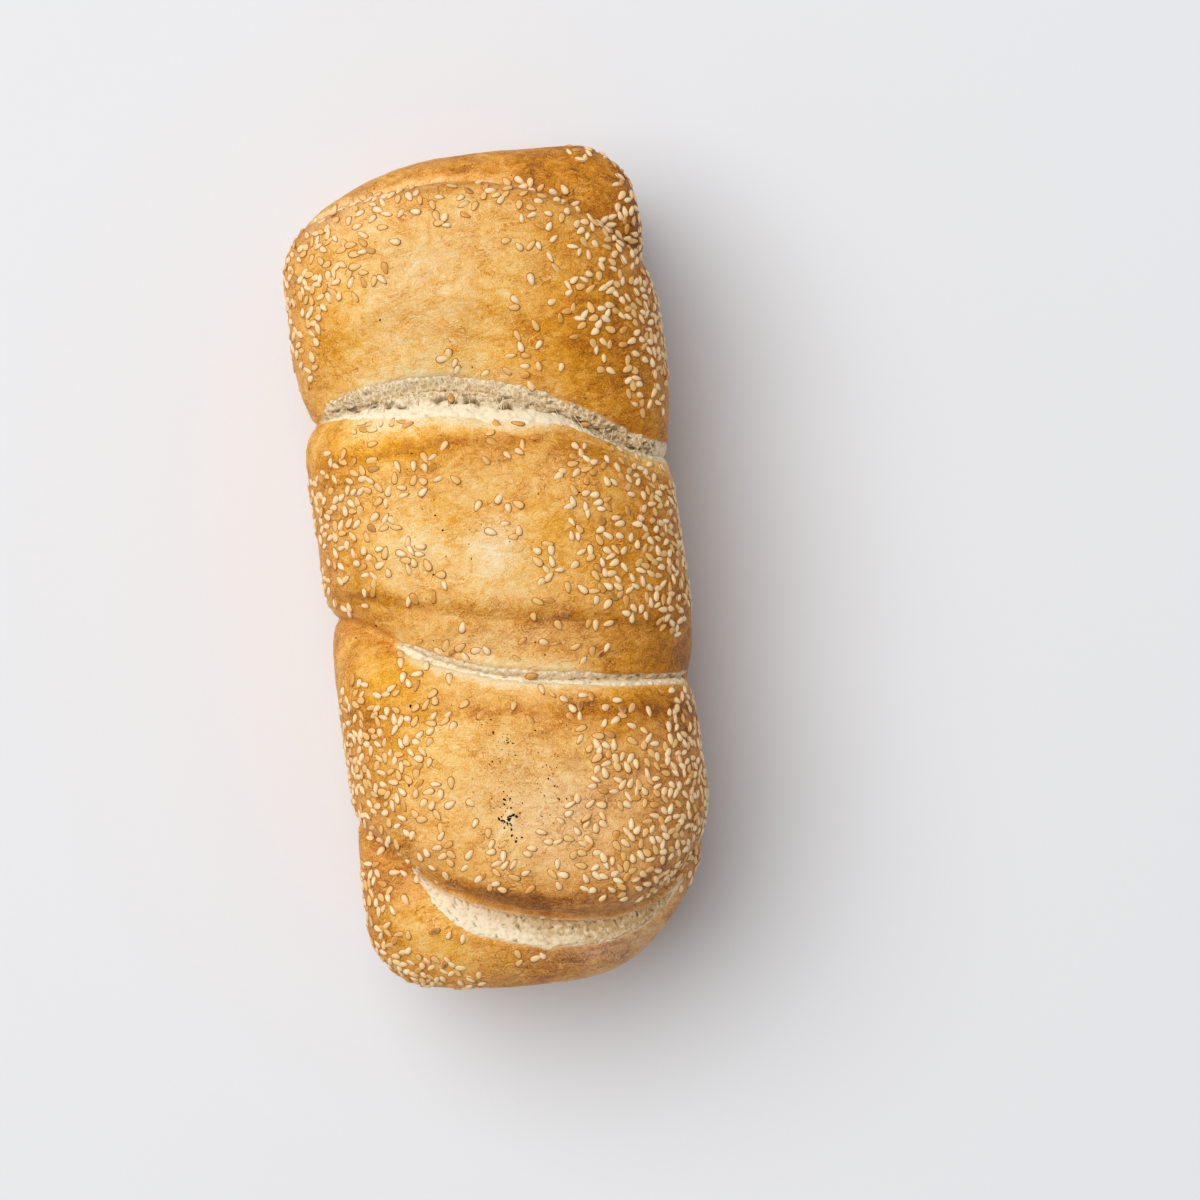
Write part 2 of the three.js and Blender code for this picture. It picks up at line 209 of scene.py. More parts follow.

# How baked the common crust is, and how much browner each lobe came out, from the -Y end, and how much darker
# the band along the second lobe's lip is: browner crust, and partly painted shade on the lip's down-turned
# face.
COMMON_BAKE = 0.405
LOBE_BAKE = (0.08, 0.02, 0.0, 0.02, 0.19)
LIP_BAKE_AND_SHADE = 0.33

# Half the width of the painted shade and highlight lines along the skin's wrinkles, in the values of the
# pattern that they follow.
RIDGE_SHADING_HALF_WIDTH = 0.012

# Fine relief of the crust: depth and width of the groove along a split, height of the broad wrinkles, rise
# of a torn lip and of the crust round a seed, and how deep the crust lies under torn crumb.
SEAM_DEPTH = 0.5
SEAM_WIDTH = 0.8
BROAD_WRINKLE = 0.28
LIP_RISE = 0.25
SEED_RISE = 0.12
TORN_DEPTH = 1.0

# Where the crust is a purer gold (above 0) or a duller buff (below 0), one row of it for a painted highlight:
# x, y, reach across and along, amount.
GOLD_PATCHES = (
    (-34, 72, 12, 20, 0.7),
    (24, 110, 26, 8, 0.3),
    (-36, 102, 12, 8, -1.0),
    (24, 58, 12, 12, 0.5),
    (-2, 57, 16, 5, 0.9),
    (-30, 37, 22, 9, 1.0),
    (-14, 16, 16, 8, 0.5),
    (13, 8, 8, 10, 0.7),
    (5, 72, 14, 8, 0.5),
    (-34, -28, 12, 10, 0.9),
    (-28, -46, 12, 8, 0.8),
    (-28, -22, 12, 5, 0.4),
    (-36, 2, 8, 12, 0.5),
    (30, -42, 16, 5, 0.4),
    (-6, -20, 30, 5, -0.5),
    (2, -66, 14, 14, -0.9),
    (18, -72, 16, 18, -0.8),
    (-32, -98, 12, 10, 0.7),
    (34, -96, 14, 14, -0.9),
    (18, -105, 16, 8, -1.8),
    (-14, 78, 18, 12, -0.3),
    (46, -82, 10, 12, -0.4),
    (36, -60, 11, 18, -0.7),
    # Duller for a painted highlight in the middle of the third lobe.
    (0, 8, 7, 7, -0.8),
)

# Folds in the skin of the lobes: course as for a split, stretch in x, drop past the fold, groove along it,
# and how much darker the groove and the band past the fold are, partly browner crust and partly painted
# shade.
FOLDS = (
    {"course": (-12.3, -9.8, 1.5), "span": (-50, -40, 46, 56), "step": 1.3, "band": 17.0, "groove": 0.3,
     "width": 2.6, "tone": 0.14},
    {"course": (34.6, -1.0, -3.0), "span": (-52, -40, 30, 44), "step": 0.0, "band": 10.0, "groove": 0.7,
     "width": 2.4, "tone": 0.28},
    {"course": (-38.6, -5.2, -1.0), "span": (-52, -38, 46, 56), "step": 0.0, "band": 10.0, "groove": 0.6,
     "width": 2.8, "tone": 0.26},
    {"course": (69.3, -11.0, -22.0), "span": (-46, -20, 34, 46), "step": 0.7, "band": 15.0, "groove": 0.2,
     "width": 3.2, "tone": 0.06},
)

# Patches of seed: place, reach across and along, and seeds to the square centimetre in the middle.
SEED_PATCHES = (
    (-39, 87, 13, 11, 12), (-25, 90, 8, 10, 10), (-46, 72, 6, 16, 5), (-20, 100.5, 18, 4.5, 16),
    (-4, 98, 7, 6, 9), (6, 98, 7, 6, 9), (16, 99, 8, 5, 8), (26, 94, 7, 7, 9), (16, 87, 9, 5, 5),
    (26, 84, 7, 8, 7), (37, 84, 9, 10, 14), (44, 72, 8, 22, 13), (33, 68, 8, 12, 9), (26, 66, 7, 12, 6),
    (16, 66, 6, 10, 3), (0, 56, 14, 4, 3), (15, 54, 8, 6, 4), (45, 50, 6, 14, 9), (33, 55, 10, 6, 4),
    (46, 102, 4, 9, 7), (37, 111, 6, 3, 7),
    (-28, 42, 10, 3, 4), (-36, 32, 12, 6, 5), (-42, 22, 9, 14, 12), (-32, 23, 7, 10, 9), (-22, 26, 6, 5, 9),
    (-14, 28, 5, 5, 9), (-33, 10, 8, 12, 7), (-25, 2, 7, 9, 5), (-43, 2, 7, 9, 6), (-17, -4, 5, 7, 3),
    (5, 31, 7, 4, 9), (-1, 34, 14, 3, 4), (24, 25, 6, 7, 13), (35, 25, 8, 7, 9), (3, 14, 6, 6, 6),
    (-3, 14, 4, 4, 5), (8, 8, 6, 5, 3), (25, 8, 7, 12, 9), (36, 4, 8, 12, 9), (44, 0, 7, 22, 12),
    (14, -2, 7, 8, 4), (34, -9, 8, 9, 13), (24, -12, 7, 8, 9), (12, -14, 8, 5, 5), (-22, -21, 10, 4, 7),
    (-13, -19, 5, 4, 6), (0, -22, 12, 4, 4), (20, -24, 8, 4, 4),
    (-26, -28, 8, 4, 6), (-42, -45, 9, 18, 13), (-33, -40, 8, 12, 8), (-24, -36, 6, 6, 5),
    (-5, -38, 14, 5, 3), (4, -36, 6, 6, 4), (18, -42, 10, 8, 6), (28, -47, 7, 8, 8), (44, -50, 6, 14, 9),
    (-31, -60, 9, 12, 8), (-42, -62, 8, 8, 11), (-23, -66, 8, 10, 6), (25, -58, 8, 10, 13),
    (35, -60, 8, 10, 13), (43, -68, 6, 12, 18), (15, -66, 7, 10, 8), (-12, -75, 8, 6, 8), (-2, -77, 8, 6, 11),
    (8, -75, 8, 8, 9), (17, -80, 8, 10, 13), (27, -82, 8, 10, 15), (36, -80, 7, 12, 24), (-5, -83, 14, 4, 10),
    (-33, -76, 6, 8, 8), (-22, -80, 4, 4, 7), (25, -93, 5, 3.5, 6),
    (-45, -85, 5, 14, 9), (-35, -82, 6, 6, 6), (-25, -94, 7, 5, 4), (-42, -100, 7, 8, 9),
    (-33, -107, 9, 4, 11), (-24, -110, 6, 3, 7), (-6, -104, 5, 3.5, 9), (-14, -101, 3, 2, 4),
)

# The seeds that toasted or burnt, as places.
TOASTED_SEEDS = (
    (3, 39), (8.5, 38.3), (1.2, 34.4), (4, -28.5), (19, -36.7), (20, -62), (27.5, -65.5), (31.5, -12.5),
    (11, -9.5), (-22.5, 42.2), (12, 51), (13.5, 33.6), (-27, -28.6), (13.8, -76.5), (34, -73), (36.5, -58),
    (21.5, -52.5), (2, 95.8), (9.4, 102.6), (12.3, 102.2), (-8, 46.4), (25, 66.5),
)
DARK_SEEDS = ((27.3, 9.2), (35, 11.6), (25.3, -3.5), (22.5, -47.5), (2.8, 101.2), (5.2, 103.8), (44.5, -45),
              (-46.2, 85.3), (24, -27), (26.7, 36.5), (16, -38.7), (15.2, -14.4), (28.2, -10.8), (-30.7, -95))

# Scorched specks: single ones as places and half widths, and swarms as place, spread, number and half widths.
SPECKS = (
    (-36.5, -12, 0.42), (-42.5, -13.3, 0.3), (-29, -33.5, 0.5), (-32, -54.7, 0.45), (-9, -27.2, 0.42),
    (-16, 16.2, 0.3), (-14.5, 12, 0.3), (12, 18.5, 0.22), (0.5, 6.8, 0.25), (-8, 7.5, 0.2), (-14.5, 5, 0.22),
    (-7.8, 3.5, 0.25), (-1.5, 54.7, 0.22), (-20.2, 30.5, 0.3), (-20.5, 33.5, 0.25), (-38, 44.7, 0.28),
    (6.3, -21, 0.28), (-24.5, 70, 0.3), (-38, 91, 0.3), (-29.5, -88.3, 0.38), (-12, -101, 0.5),
    (-7, -101, 0.3), (8.5, -24.7, 0.25), (3.5, -44, 0.3), (-18.5, 0.5, 0.3), (32, -89.6, 0.42),
    (34, -89.2, 0.42), (15, -108, 0.28), (43, -33, 0.35), (34.5, -34, 0.4), (24.3, -34, 0.32),
    (-12.6, -70, 0.4), (-34, -16.5, 0.2), (23, 17.6, 0.3), (9.6, -63.2, 0.25), (7.6, -63, 0.28),
)
SPECK_SWARMS = (
    (-6.3, -46, 2.4, 3.0, 34, 0.10, 0.30), (-7.0, -66, 1.5, 4.5, 38, 0.14, 0.46),
    (-6.4, -67.5, 1.1, 2.2, 14, 0.25, 0.58), (5.5, -56, 2.6, 3.0, 14, 0.12, 0.28),
    (5, -65, 3.0, 4.0, 12, 0.1, 0.24), (-1, -58, 9.0, 10.0, 90, 0.07, 0.18),
    (0, 0, 26, 60, 150, 0.06, 0.17), (-22, -10, 14, 40, 40, 0.06, 0.2),
)

# How far across and along from the middle specks may lie, and how thick they are as half heights.
SPECK_FIELD = (45.0, 106.0)
SPECK_THICKNESS = 0.12

# The torn blister in the crust.
BLISTER = {"place": (-5.8, -66.5), "reach": 2.6, "height": 0.5}

# How seeds lie: the field they are drawn over, as a girth past the rim and a length, how many are tried,
# how many more stand in crowds, how high they lie, how steep the top may be where they hold (from a height
# up, as the least rise of its normal), how clear of torn crumb they stand, and how far they tilt and roll.
SEED_GIRTH = 26.0
SEED_LENGTH = 132.0
SEED_TRIES = 60000
CROWDING = 0.10
SEED_LIFT = 0.15
STEEP_ABOVE = 64.0
STEEPEST = 0.3
CLEAR_OF_CRUMB = -0.7
SEED_TILT = math.radians(18)
SEED_ROLL = math.radians(26)

# Kinds of seed: share of the draw, colour of the hull, height as a share of the whole, and lift.
SEED_KINDS = {
    "seeds_pale": {"share": (0.0, 0.64), "hull": "ivory", "height": 1.0, "lift": SEED_LIFT},
    "seeds_toasted": {"share": (0.64, 0.71), "hull": "toasted", "height": 0.85, "lift": SEED_LIFT},
    "seeds_dark": {"share": (0.71, 0.716), "hull": "dark", "height": 0.8, "lift": SEED_LIFT},
    "seeds_sunk": {"share": (0.716, 1.0), "hull": "skinned", "height": 0.5, "lift": SEED_LIFT + 0.1},
}

# A seed seen from the side: share of its half width and of its height, from the top down to under the crust.
SEED_PROFILE = ((0.0, 1.0), (0.50, 0.90), (0.80, 0.60), (0.93, 0.22), (1.12, 0.02), (1.0, -0.8))
SEED_SIDES = 9
SEED_POINTEDNESS = 0.32

# The crust's mesh: columns round the girth, and rings along each lobe, closer beside the splits. At the base
# the rings turn square: shares of the half length at which the straight run and the rolled end stop.
TOP_COLUMNS = 216
WALL_COLUMNS = 30
CORNER_COLUMNS = 5
BASE_COLUMNS = 8
LOBE_RINGS = (50, 74, 86, 62, 48)
RING_CROWDING = 0.5
STRAIGHT_SHARE = 0.7
ROLLED_SHARE = 0.88

# The strips of torn crumb: size of a mesh cell, how far they dive under the crust, how deep under it they
# end, and the rows and thickness of their undersides.
STRIP_STEP = 0.34
STRIP_MARGIN = 1.3
STRIP_DIVE = 0.8
STRIP_UNDERSIDE = 4
STRIP_THICKNESS = 1.2

# Pores of the crumb: the largest and least, the softness of their rims, all in cells, and depth in mm.
PORE_LARGEST = 0.42
PORE_LEAST = 0.06
PORE_RIM = 0.12
PORE_DEPTH = 0.7

# The threads of crumb across the far split.
STRAND_COUNT = 30
STRAND_SIDES = 5
STRAND_RINGS = 7
STRAND_STRETCH = (-39.0, 34.0)

# The studio, in metres: the floor from its middle to an edge and how far it lies under the loaf, the key
# light, and the camera with its lens and film in millimetres.
FLOOR_REACH = 4.0
FLOOR_DROP = 0.1 * MM
KEY_PLACE = (-1.4, 1.26, 3.53)
KEY_SIZE = 4.3
CAMERA_PLACE = (24.9 * MM, -11.6 * MM)
LENS = 114.0
FILM = 36.0


def linear(colour):
    """The linear value of an sRGB hex colour."""
    parts = [int(colour[i:i + 2], 16) / 255 for i in (1, 3, 5)]
    return tuple(p / 12.92 if p <= 0.04045 else ((p + 0.055) / 1.055) ** 2.4 for p in parts)


def length_setting(name, about, millimetres):
    """A length that a user can change, given in millimetres."""
    return FloatProperty(name=name, description=about, default=millimetres * MM, unit="LENGTH")


def share_setting(name, about, share):
    """A share that a user can change."""
    return FloatProperty(name=name, description=about, default=share, subtype="FACTOR")


def colour_setting(name, about, colour):
    """A colour that a user can change, given as an sRGB hex value."""
    return FloatVectorProperty(name=name, description=about, default=linear(colour), subtype="COLOR", size=3)


class LoafForm(bpy.types.PropertyGroup):
    """Sizes of the bare loaf"""

    half_length: length_setting("Half length", "From the middle of the loaf to an end", 114.2)
    half_width: length_setting("Half width", "From the middle of the loaf to a wall", 50.8)
    rim_height: length_setting("Rim height", "Where the walls turn into the top", 54.0)
    axis_height: length_setting("Axis height", "Middle of the end faces", 42.0)
    base_corner: length_setting("Base corner", "Radius between walls and base", 9.0)
    top_run: length_setting("Top run", "Girth from the crown to the rim", 66.0)
    top_fullness: FloatProperty(
        name="Top fullness", description="2 is a round top, more is squarer", default=2.5)
    wall_draft: share_setting("Wall draft", "How much the walls draw in at the base", 0.085)
    end_draft: share_setting("End draft", "How much the ends draw in at the base", 0.06)


class LoafCrust(bpy.types.PropertyGroup):
    """Finish of the baked crust"""

    cream: colour_setting("Cream", "Skin that hardly browned, beside the splits", "#FCEAC6")
    straw: colour_setting("Straw", "Palest baked skin", "#F9D696")
    golden: colour_setting("Golden", "Common colour of the crust", "#F2B761")
    tan: colour_setting("Tan", "Well baked skin", "#CF8834")
    brown: colour_setting("Brown", "Darkest skin", "#834614")
    wrinkle: length_setting("Wrinkles", "Height of the fine wrinkles", 0.12)


class LoafCrumb(bpy.types.PropertyGroup):
    """Finish of the torn crumb in the splits"""

    white: colour_setting("White", "Fresh torn crumb", "#F9EACB")
    grey: colour_setting("Grey", "Shaded hollows of the crumb", "#D9BB8C")
    # Damp stands partly for a moist film and partly for painted shade: under the lip, on the side away from
    # the key light, and in the splits' shaded hollows.
    damp_and_shade: colour_setting("Damp", "Moist film under a lip of crust", "#C19C65")
    # The pore colour is painted shade in the pores, holes, cracks and crease of the crumb.
    pore_shade: colour_setting("Pore", "Inside of a pore", "#6A4C22")
    relief: length_setting("Relief", "Height of the torn crumb's tufts", 0.55)


class LoafSeeds(bpy.types.PropertyGroup):
    """Sizes and colours of the seeds and specks"""

    length: length_setting("Length", "Length of a seed", 3.2)
    width: length_setting("Width", "Width of a seed", 1.74)
    thickness: length_setting("Thickness", "Thickness of a seed", 1.0)
    spacing: length_setting("Spacing", "Least distance of two seeds", 1.8)
    draw: IntProperty(name="Draw", description="Start of the random draw", default=41)
    ivory: colour_setting("Ivory", "Pale hull", "#FAE7BF")
    # The rim colour is browned crust climbing a seed, and partly painted contact shadow where seed and crust
    # meet.
    rim: colour_setting("Rim", "Where crust climbs up a seed", "#9E5E1E")
    toasted: colour_setting("Toasted", "Golden hull", "#D08F3C")
    dark: colour_setting("Dark", "Burnt hull", "#8A4A16")
    skinned: colour_setting("Skinned", "Hull under a skin of crust", "#E9BF7C")
    speck: colour_setting("Speck", "Scorched speck of crust", "#2A180C")


class LoafStage(bpy.types.PropertyGroup):
    """Studio round the loaf"""

    floor: colour_setting("Floor", "Colour of the floor", "#E8E9EC")
    key_power: FloatProperty(name="Key", description="Power of the key light", default=161.0, unit="POWER")
    fill: FloatProperty(name="Fill", description="Strength of the light from all round", default=0.312)
    camera_height: length_setting("Camera height", "Above the floor", 1100.0)
    camera_turn: FloatProperty(
        name="Camera turn", description="Turn of the picture about the vertical", default=math.radians(-7.0),
        unit="ROTATION")


def ramp(t, low, high):
    """Smooth step from 0 at low to 1 at high."""
    t = np.clip((t - low) / (high - low), 0.0, 1.0)
    return t * t * (3.0 - 2.0 * t)


def between(a, b, t):
    """The value a share t of the way from a to b."""
    return a + (b - a) * t


def plateau(x, stretch):
    """1 along a stretch of x, given by its four places, falling to 0 past its ends."""
    return ramp(x, stretch[0], stretch[1]) * (1.0 - ramp(x, stretch[2], stretch[3]))


def polynomial(course, x):
    """Where a course runs at x."""
    return sum(c * (x / COURSE_UNIT) ** k for k, c in enumerate(course))


def opening(stretches, x):
    """How wide one side of a split shows torn crumb at x."""
    return sum(width * plateau(x, stretch) for width, *stretch in stretches)


def patches_at(patches, x, y):
    """Sum of soft round patches at places, each given by its place, reach across and along, and amount."""
    total = np.zeros(len(x))
    for px, py, across, along, amount in patches:
        total += amount * np.exp(-((x - px) / across) ** 2 - ((y - py) / along) ** 2)
    return total


def grain(points, size, shift=0.0, octaves=1):
    """Smooth noise from about -1 to 1 at points, with features of a size or three sizes in millimetres."""
    scaled = points / np.asarray(size) + shift
    if octaves == 1:
        return np.array([noise.noise(p) for p in scaled.tolist()])
    return np.array([noise.fractal(p, 0.9, 2.1, octaves) for p in scaled.tolist()])


class Form:
    """The loaf's shape worked out from its sizes, for arrays of girths s and lengths v in millimetres."""

    def __init__(self, loaf):
        sizes = loaf.form
        self.half_length = sizes.half_length / MM
        self.half_width = sizes.half_width / MM
        self.rim = sizes.rim_height / MM
        self.axis = sizes.axis_height / MM
        self.corner = sizes.base_corner / MM
        self.top_run = sizes.top_run / MM
        self.fullness = sizes.top_fullness
        self.wall_draft = sizes.wall_draft
        self.end_draft = sizes.end_draft
        self.wall_run = self.rim - self.corner
        self.corner_run = self.corner * math.pi / 2
        self.base_run = self.half_width - self.corner
        self.edge = self.top_run + self.wall_run + self.corner_run
        self.half_girth = self.edge + self.base_run
        self.wrinkle = loaf.crust.wrinkle / MM

    def section(self, s, crown, left, right):
        """The section of a lobe at girth s: x across and z up."""
        g = np.abs(s)
        reach = np.where(s < 0, left, right)
        turn = np.clip(g / self.top_run, 0, 1) * math.pi / 2
        x = reach * np.sin(turn) ** (2 / self.fullness)
        z = self.rim + (crown - self.rim) * np.clip(np.cos(turn), 0, 1) ** (2 / self.fullness)
        on_wall = g - self.top_run
        z = np.where(on_wall > 0, self.rim - on_wall, z)
        on_corner = on_wall - self.wall_run
        turned = np.clip(on_corner / self.corner, 0, math.pi / 2)
        x = np.where(on_corner > 0, reach - self.corner * (1 - np.cos(turned)), x)
        z = np.where(on_corner > 0, self.corner * (1 - np.sin(turned)), z)
        on_base = on_corner - self.corner_run
        x = np.where(on_base > 0, (reach - self.corner) * (1 - on_base / self.base_run), x)
        z = np.where(on_base > 0, 0.0, z)
        return np.sign(s) * x, z

    def near_corner(self, x, v, key):
        """A value of the corner of the plan nearest to a place."""
        far = np.where(x < 0, CORNERS["far_left"][key], CORNERS["far_right"][key])
        near = np.where(x < 0, CORNERS["near_left"][key], CORNERS["near_right"][key])
        return np.where(v > 0, far, near)

    def end_radius(self, s, v):
        """How round the loaf's end is at girth s."""
        g = np.abs(s)
        radius = self.near_corner(s, v, "radius")
        upper = between(END_RADIUS_TOP, radius, ramp(g, 0.45 * self.top_run, self.top_run))
        low = ramp(g, self.top_run + 0.5 * self.wall_run, self.top_run + self.wall_run)
        return between(upper, END_RADIUS_BASE, low)

    def end_reach(self, x, v):
        """How far the end face stands from the middle of the loaf at x."""
        depth, power = self.near_corner(x, v, "depth"), self.near_corner(x, v, "power")
        return self.half_length - depth * (np.abs(x) / self.half_width) ** power

    def rail(self, s, v, lobe):
        """Lengths along the skin at girth s: the straight run, the rolled end and the whole."""
        x, _ = self.section(s, *lobe)
        radius = self.end_radius(s, v)
        straight = self.end_reach(x, v) - radius
        rolled = radius * math.pi / 2
        return straight, rolled, straight + rolled + self.half_width - radius

    def skin(self, s, v, lobe, sink=0.0):
        """The skin of a lobe carried over the whole loaf, at girth s and length v."""
        x, z = self.section(s, *lobe)
        radius = self.end_radius(s, v)
        straight = self.end_reach(x, v) - radius
        run = np.abs(v)
        turn = np.clip((run - straight) / radius, 0, math.pi / 2)
        inset = radius * (1 - np.cos(turn)) + np.maximum(run - straight - radius * math.pi / 2, 0)
        left = np.clip(1 - inset / self.half_width, 0, 1)
        share = left * (1 - sink / np.hypot(x, z - self.axis))
        px = share * x
        on_face = 1 - np.minimum(left * self.half_width / (self.half_width - radius), 1) ** 2
        end = self.end_reach(px, v) - radius * (1 - np.sin(turn)) + END_BULGE * on_face
        py = np.sign(v) * np.where(run < straight, run, end)
        return np.stack([px, py, self.axis + share * (z - self.axis)], -1)

    def split_course(self, index, s):
        """Where a split runs at girth s, as a length along the skin."""
        def over_top_and_walls(g):
            on_top = np.clip(g, -self.top_run, self.top_run)
            x, _ = self.section(on_top, self.rim, self.half_width, self.half_width)
            down = np.maximum(np.abs(g) - self.top_run, 0)
            slant = np.sign(g) * WALL_SLANT * down ** 2 / (down + WALL_SLANT_START)
            return polynomial(SPLITS[index]["course"], x) - slant

        s = np.asarray(s, float)
        inward = (self.half_girth - np.abs(s)) / (self.half_girth - self.edge)
        across = 0.5 - np.sign(s) * 0.5 * inward
        under = between(*over_top_and_walls(np.array([self.edge, -self.edge])), across)
        return np.where(np.abs(s) > self.edge, under, over_top_and_walls(np.clip(s, -self.edge, self.edge)))

    def split_slant(self, index, s):
        """How much longer a split is measured along v than square to it, at girth s."""
        slope = self.split_course(index, s + 0.5) - self.split_course(index, s - 0.5)
        return np.hypot(1, slope)

    def split_width(self, index, side, s):
        """Width of one side of a split at girth s, along v."""
        narrowing = ramp(np.abs(s), 0.6 * self.top_run, self.top_run + 0.2 * self.wall_run)
        sizes = SPLITS[index][side]
        return between(sizes["width"], sizes["wall"], narrowing) * self.split_slant(index, s)

    def split_floor(self, index, s):
        """The lowest line of a split: on the lower neighbour's skin, sunk by the depth."""
        split, g = SPLITS[index], np.abs(s)
        shared = LOBES[index:index + 2].min(0)
        rim = np.where(s < 0, split["rim_left"], split["rim_right"])
        depth = between(split["depth"], rim, ramp(g, 0.55 * self.top_run, self.top_run))
        depth = between(depth, DEPTH_LOW_ON_WALL, ramp(g, self.top_run, self.top_run + 0.8 * self.wall_run))
        depth = depth * (1 - ramp(g, self.top_run + 0.7 * self.wall_run, self.top_run + self.wall_run))
        return self.skin(s, self.split_course(index, s), shared, depth)

    def lobe_at(self, s, v):
        """Number of the lobe at girth s and length v."""
        return sum((v > self.split_course(i, s)).astype(int) for i in range(len(SPLITS)))

    def crust(self, s, v):
        """The plain crust with its splits, draft and unevenness."""
        number = self.lobe_at(s, v)
        lobe = LOBES[number].T
        point = self.skin(s, v, lobe)
        for index, split in enumerate(SPLITS):
            course = self.split_course(index, s)
            for side, here in (("above", number == index + 1), ("below", number == index)):
                t = np.abs(v - course) / self.split_width(index, side, s)
                here = here & (t < 1)
                if not here.any():
                    continue
                t, girth, lobe_here = t[here], s[here], lobe[:, here]
                rise = (1 - (1 - t) ** 2) ** (1 / split[side]["steepness"])
                drop = self.split_floor(index, girth) - self.skin(girth, course[here], lobe_here)
                point[here] += drop * (1 - rise)[:, None]
                on_top = 1 - ramp(np.abs(girth), 0.7 * self.top_run, self.top_run)
                lean = split[side]["overhang"] * on_top * 6.75 * t * (1 - t) ** 2
                point[here, 1] += np.sign(course - v)[here] * lean
        return self.drafted(point)

    def drafted(self, point):
        """Points of the skin with the slow swell of the dough and the draft of the tin."""
        x, y, z = point.T
        long = np.sin(x / 13 + y / 31 + 0.4) * np.sin(y / 15 - x / 40 + 1.3)
        short = np.sin(x / 6.5 - y / 17 + 2) * np.sin(y / 8.5 + z / 11 + 0.7)
        swell = UNEVENNESS * (long + 0.5 * short) * ramp(z, 4, 24)
        swollen = 1 + swell / np.sqrt(x ** 2 + (z - self.axis) ** 2 + 144)
        below = np.clip(1 - z / self.rim, 0, 1)
        return np.stack([
            x * swollen * (1 - self.wall_draft * below),
            y * (1 - self.end_draft * below),
            self.axis + (z - self.axis) * np.where(z > self.axis, swollen, 1),
        ], -1)

    def normals(self, s, v):
        """Outward normals of the plain crust."""
        step = 0.6
        across = self.crust(s + step, v) - self.crust(s - step, v)
        along = self.crust(s, v + step) - self.crust(s, v - step)
        normal = np.cross(across, along)
        length = np.linalg.norm(normal, axis=1)
        flat = length < 1e-9
        normal[flat] = (0, 0, 1)
        return normal / np.where(flat, 1, length)[:, None]

    def split_offset(self, index, s, v):
        """Distance past a split, measured square to it."""
        return (v - self.split_course(index, s)) / self.split_slant(index, s)

    def crumb_depth(self, s, v, x):
        """How far inside torn crumb a place lies, below 0 outside it."""
        deepest = np.full(len(s), -99.0)
        for index, zone in enumerate(CRUMBS):
            d = self.split_offset(index, s, v)
            above, below = opening(zone["above"], x), opening(zone["below"], x)
            on_top = 1 - ramp(np.abs(s), self.top_run * 0.98, self.top_run + 6)
            shut = 0.9 * (1 - ramp(above + below, 0.0, 2.0) * on_top)
            inside = np.minimum(above * on_top - d, d + below * on_top) - shut
            deepest = np.maximum(deepest, inside)
        return deepest

    def relief(self, s, v, point):
        """Height of folds and wrinkles over the plain crust, and how much darker they are: browner, and
        partly painted shade along the folds.
        """
        x, y, z = point.T
        on_top = ramp(z, 50, 64)
        height = np.zeros(len(s))
        tone = np.zeros(len(s))
        for fold in FOLDS:
            past = polynomial(fold["course"], x) - y
            here = plateau(x, fold["span"]) * on_top
            beyond = ramp(past, -fold["width"], fold["width"])
            beyond *= 1 - ramp(past, 0.5 * fold["band"], fold["band"])
            groove = np.exp(-(past / fold["width"]) ** 2)
            height -= here * (fold["step"] * beyond + fold["groove"] * groove)
            # Darker in the groove and past the fold: partly browner crust, partly painted shade.
            tone += here * fold["tone"] * np.maximum(groove, 0.4 * beyond)
        for index in range(len(SPLITS)):
            d = np.abs(self.split_offset(index, s, v))
            shut = 1 - ramp(z, 70, 84) * 0.5
            height -= SEAM_DEPTH * shut * np.exp(-d / SEAM_WIDTH) * ramp(z, 4, 30)
        slanted = np.stack([x + 0.25 * y, y + 0.22 * x, z], -1)
        height += BROAD_WRINKLE * grain(slanted, (14, 9, 12), 3.0)
        height += self.wrinkle * grain(slanted, (7, 1.9, 5), 11.0, 3)
        height += 0.5 * self.wrinkle * grain(point, 1.4, 23.0)
        blister = blister_at(x, y) * on_top
        height += BLISTER["height"] * blister * (1 + grain(point, 0.9, 29.0, 2))
        return height * ramp(z, 0.5, 6), tone - 0.3 * blister

    def surface(self, s, v):
        """The crust with its folds: points, normals and how much darker the folds are, partly with painted
        shade.
        """
        point, normal = self.crust(s, v), self.normals(s, v)
        height, tone = self.relief(s, v, point)
        return point + normal * height[:, None], normal, tone


def blister_at(x, y):
    """1 in the middle of the torn blister, falling to 0 past its reach."""
    px, py = BLISTER["place"]
    return 1 - ramp(np.hypot((x - px) * 1.3, y - py), 0.4 * BLISTER["reach"], BLISTER["reach"])


def new_piece(name, data, material):
    """Puts a finished mesh in the scene as a piece of the loaf."""
    piece = bpy.data.objects.new(name, data)
    bpy.context.scene.collection.objects.link(piece)
    data.materials.append(material)
    data.shade_smooth()
    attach(piece, BODY)
    return piece


def set_values(data, attributes):
    """Gives the points of a mesh the named values that its material reads."""
    for name, values in attributes.items():
        data.attributes.new(name, "FLOAT", "POINT").data.foreach_set("value", values.astype(np.float32))


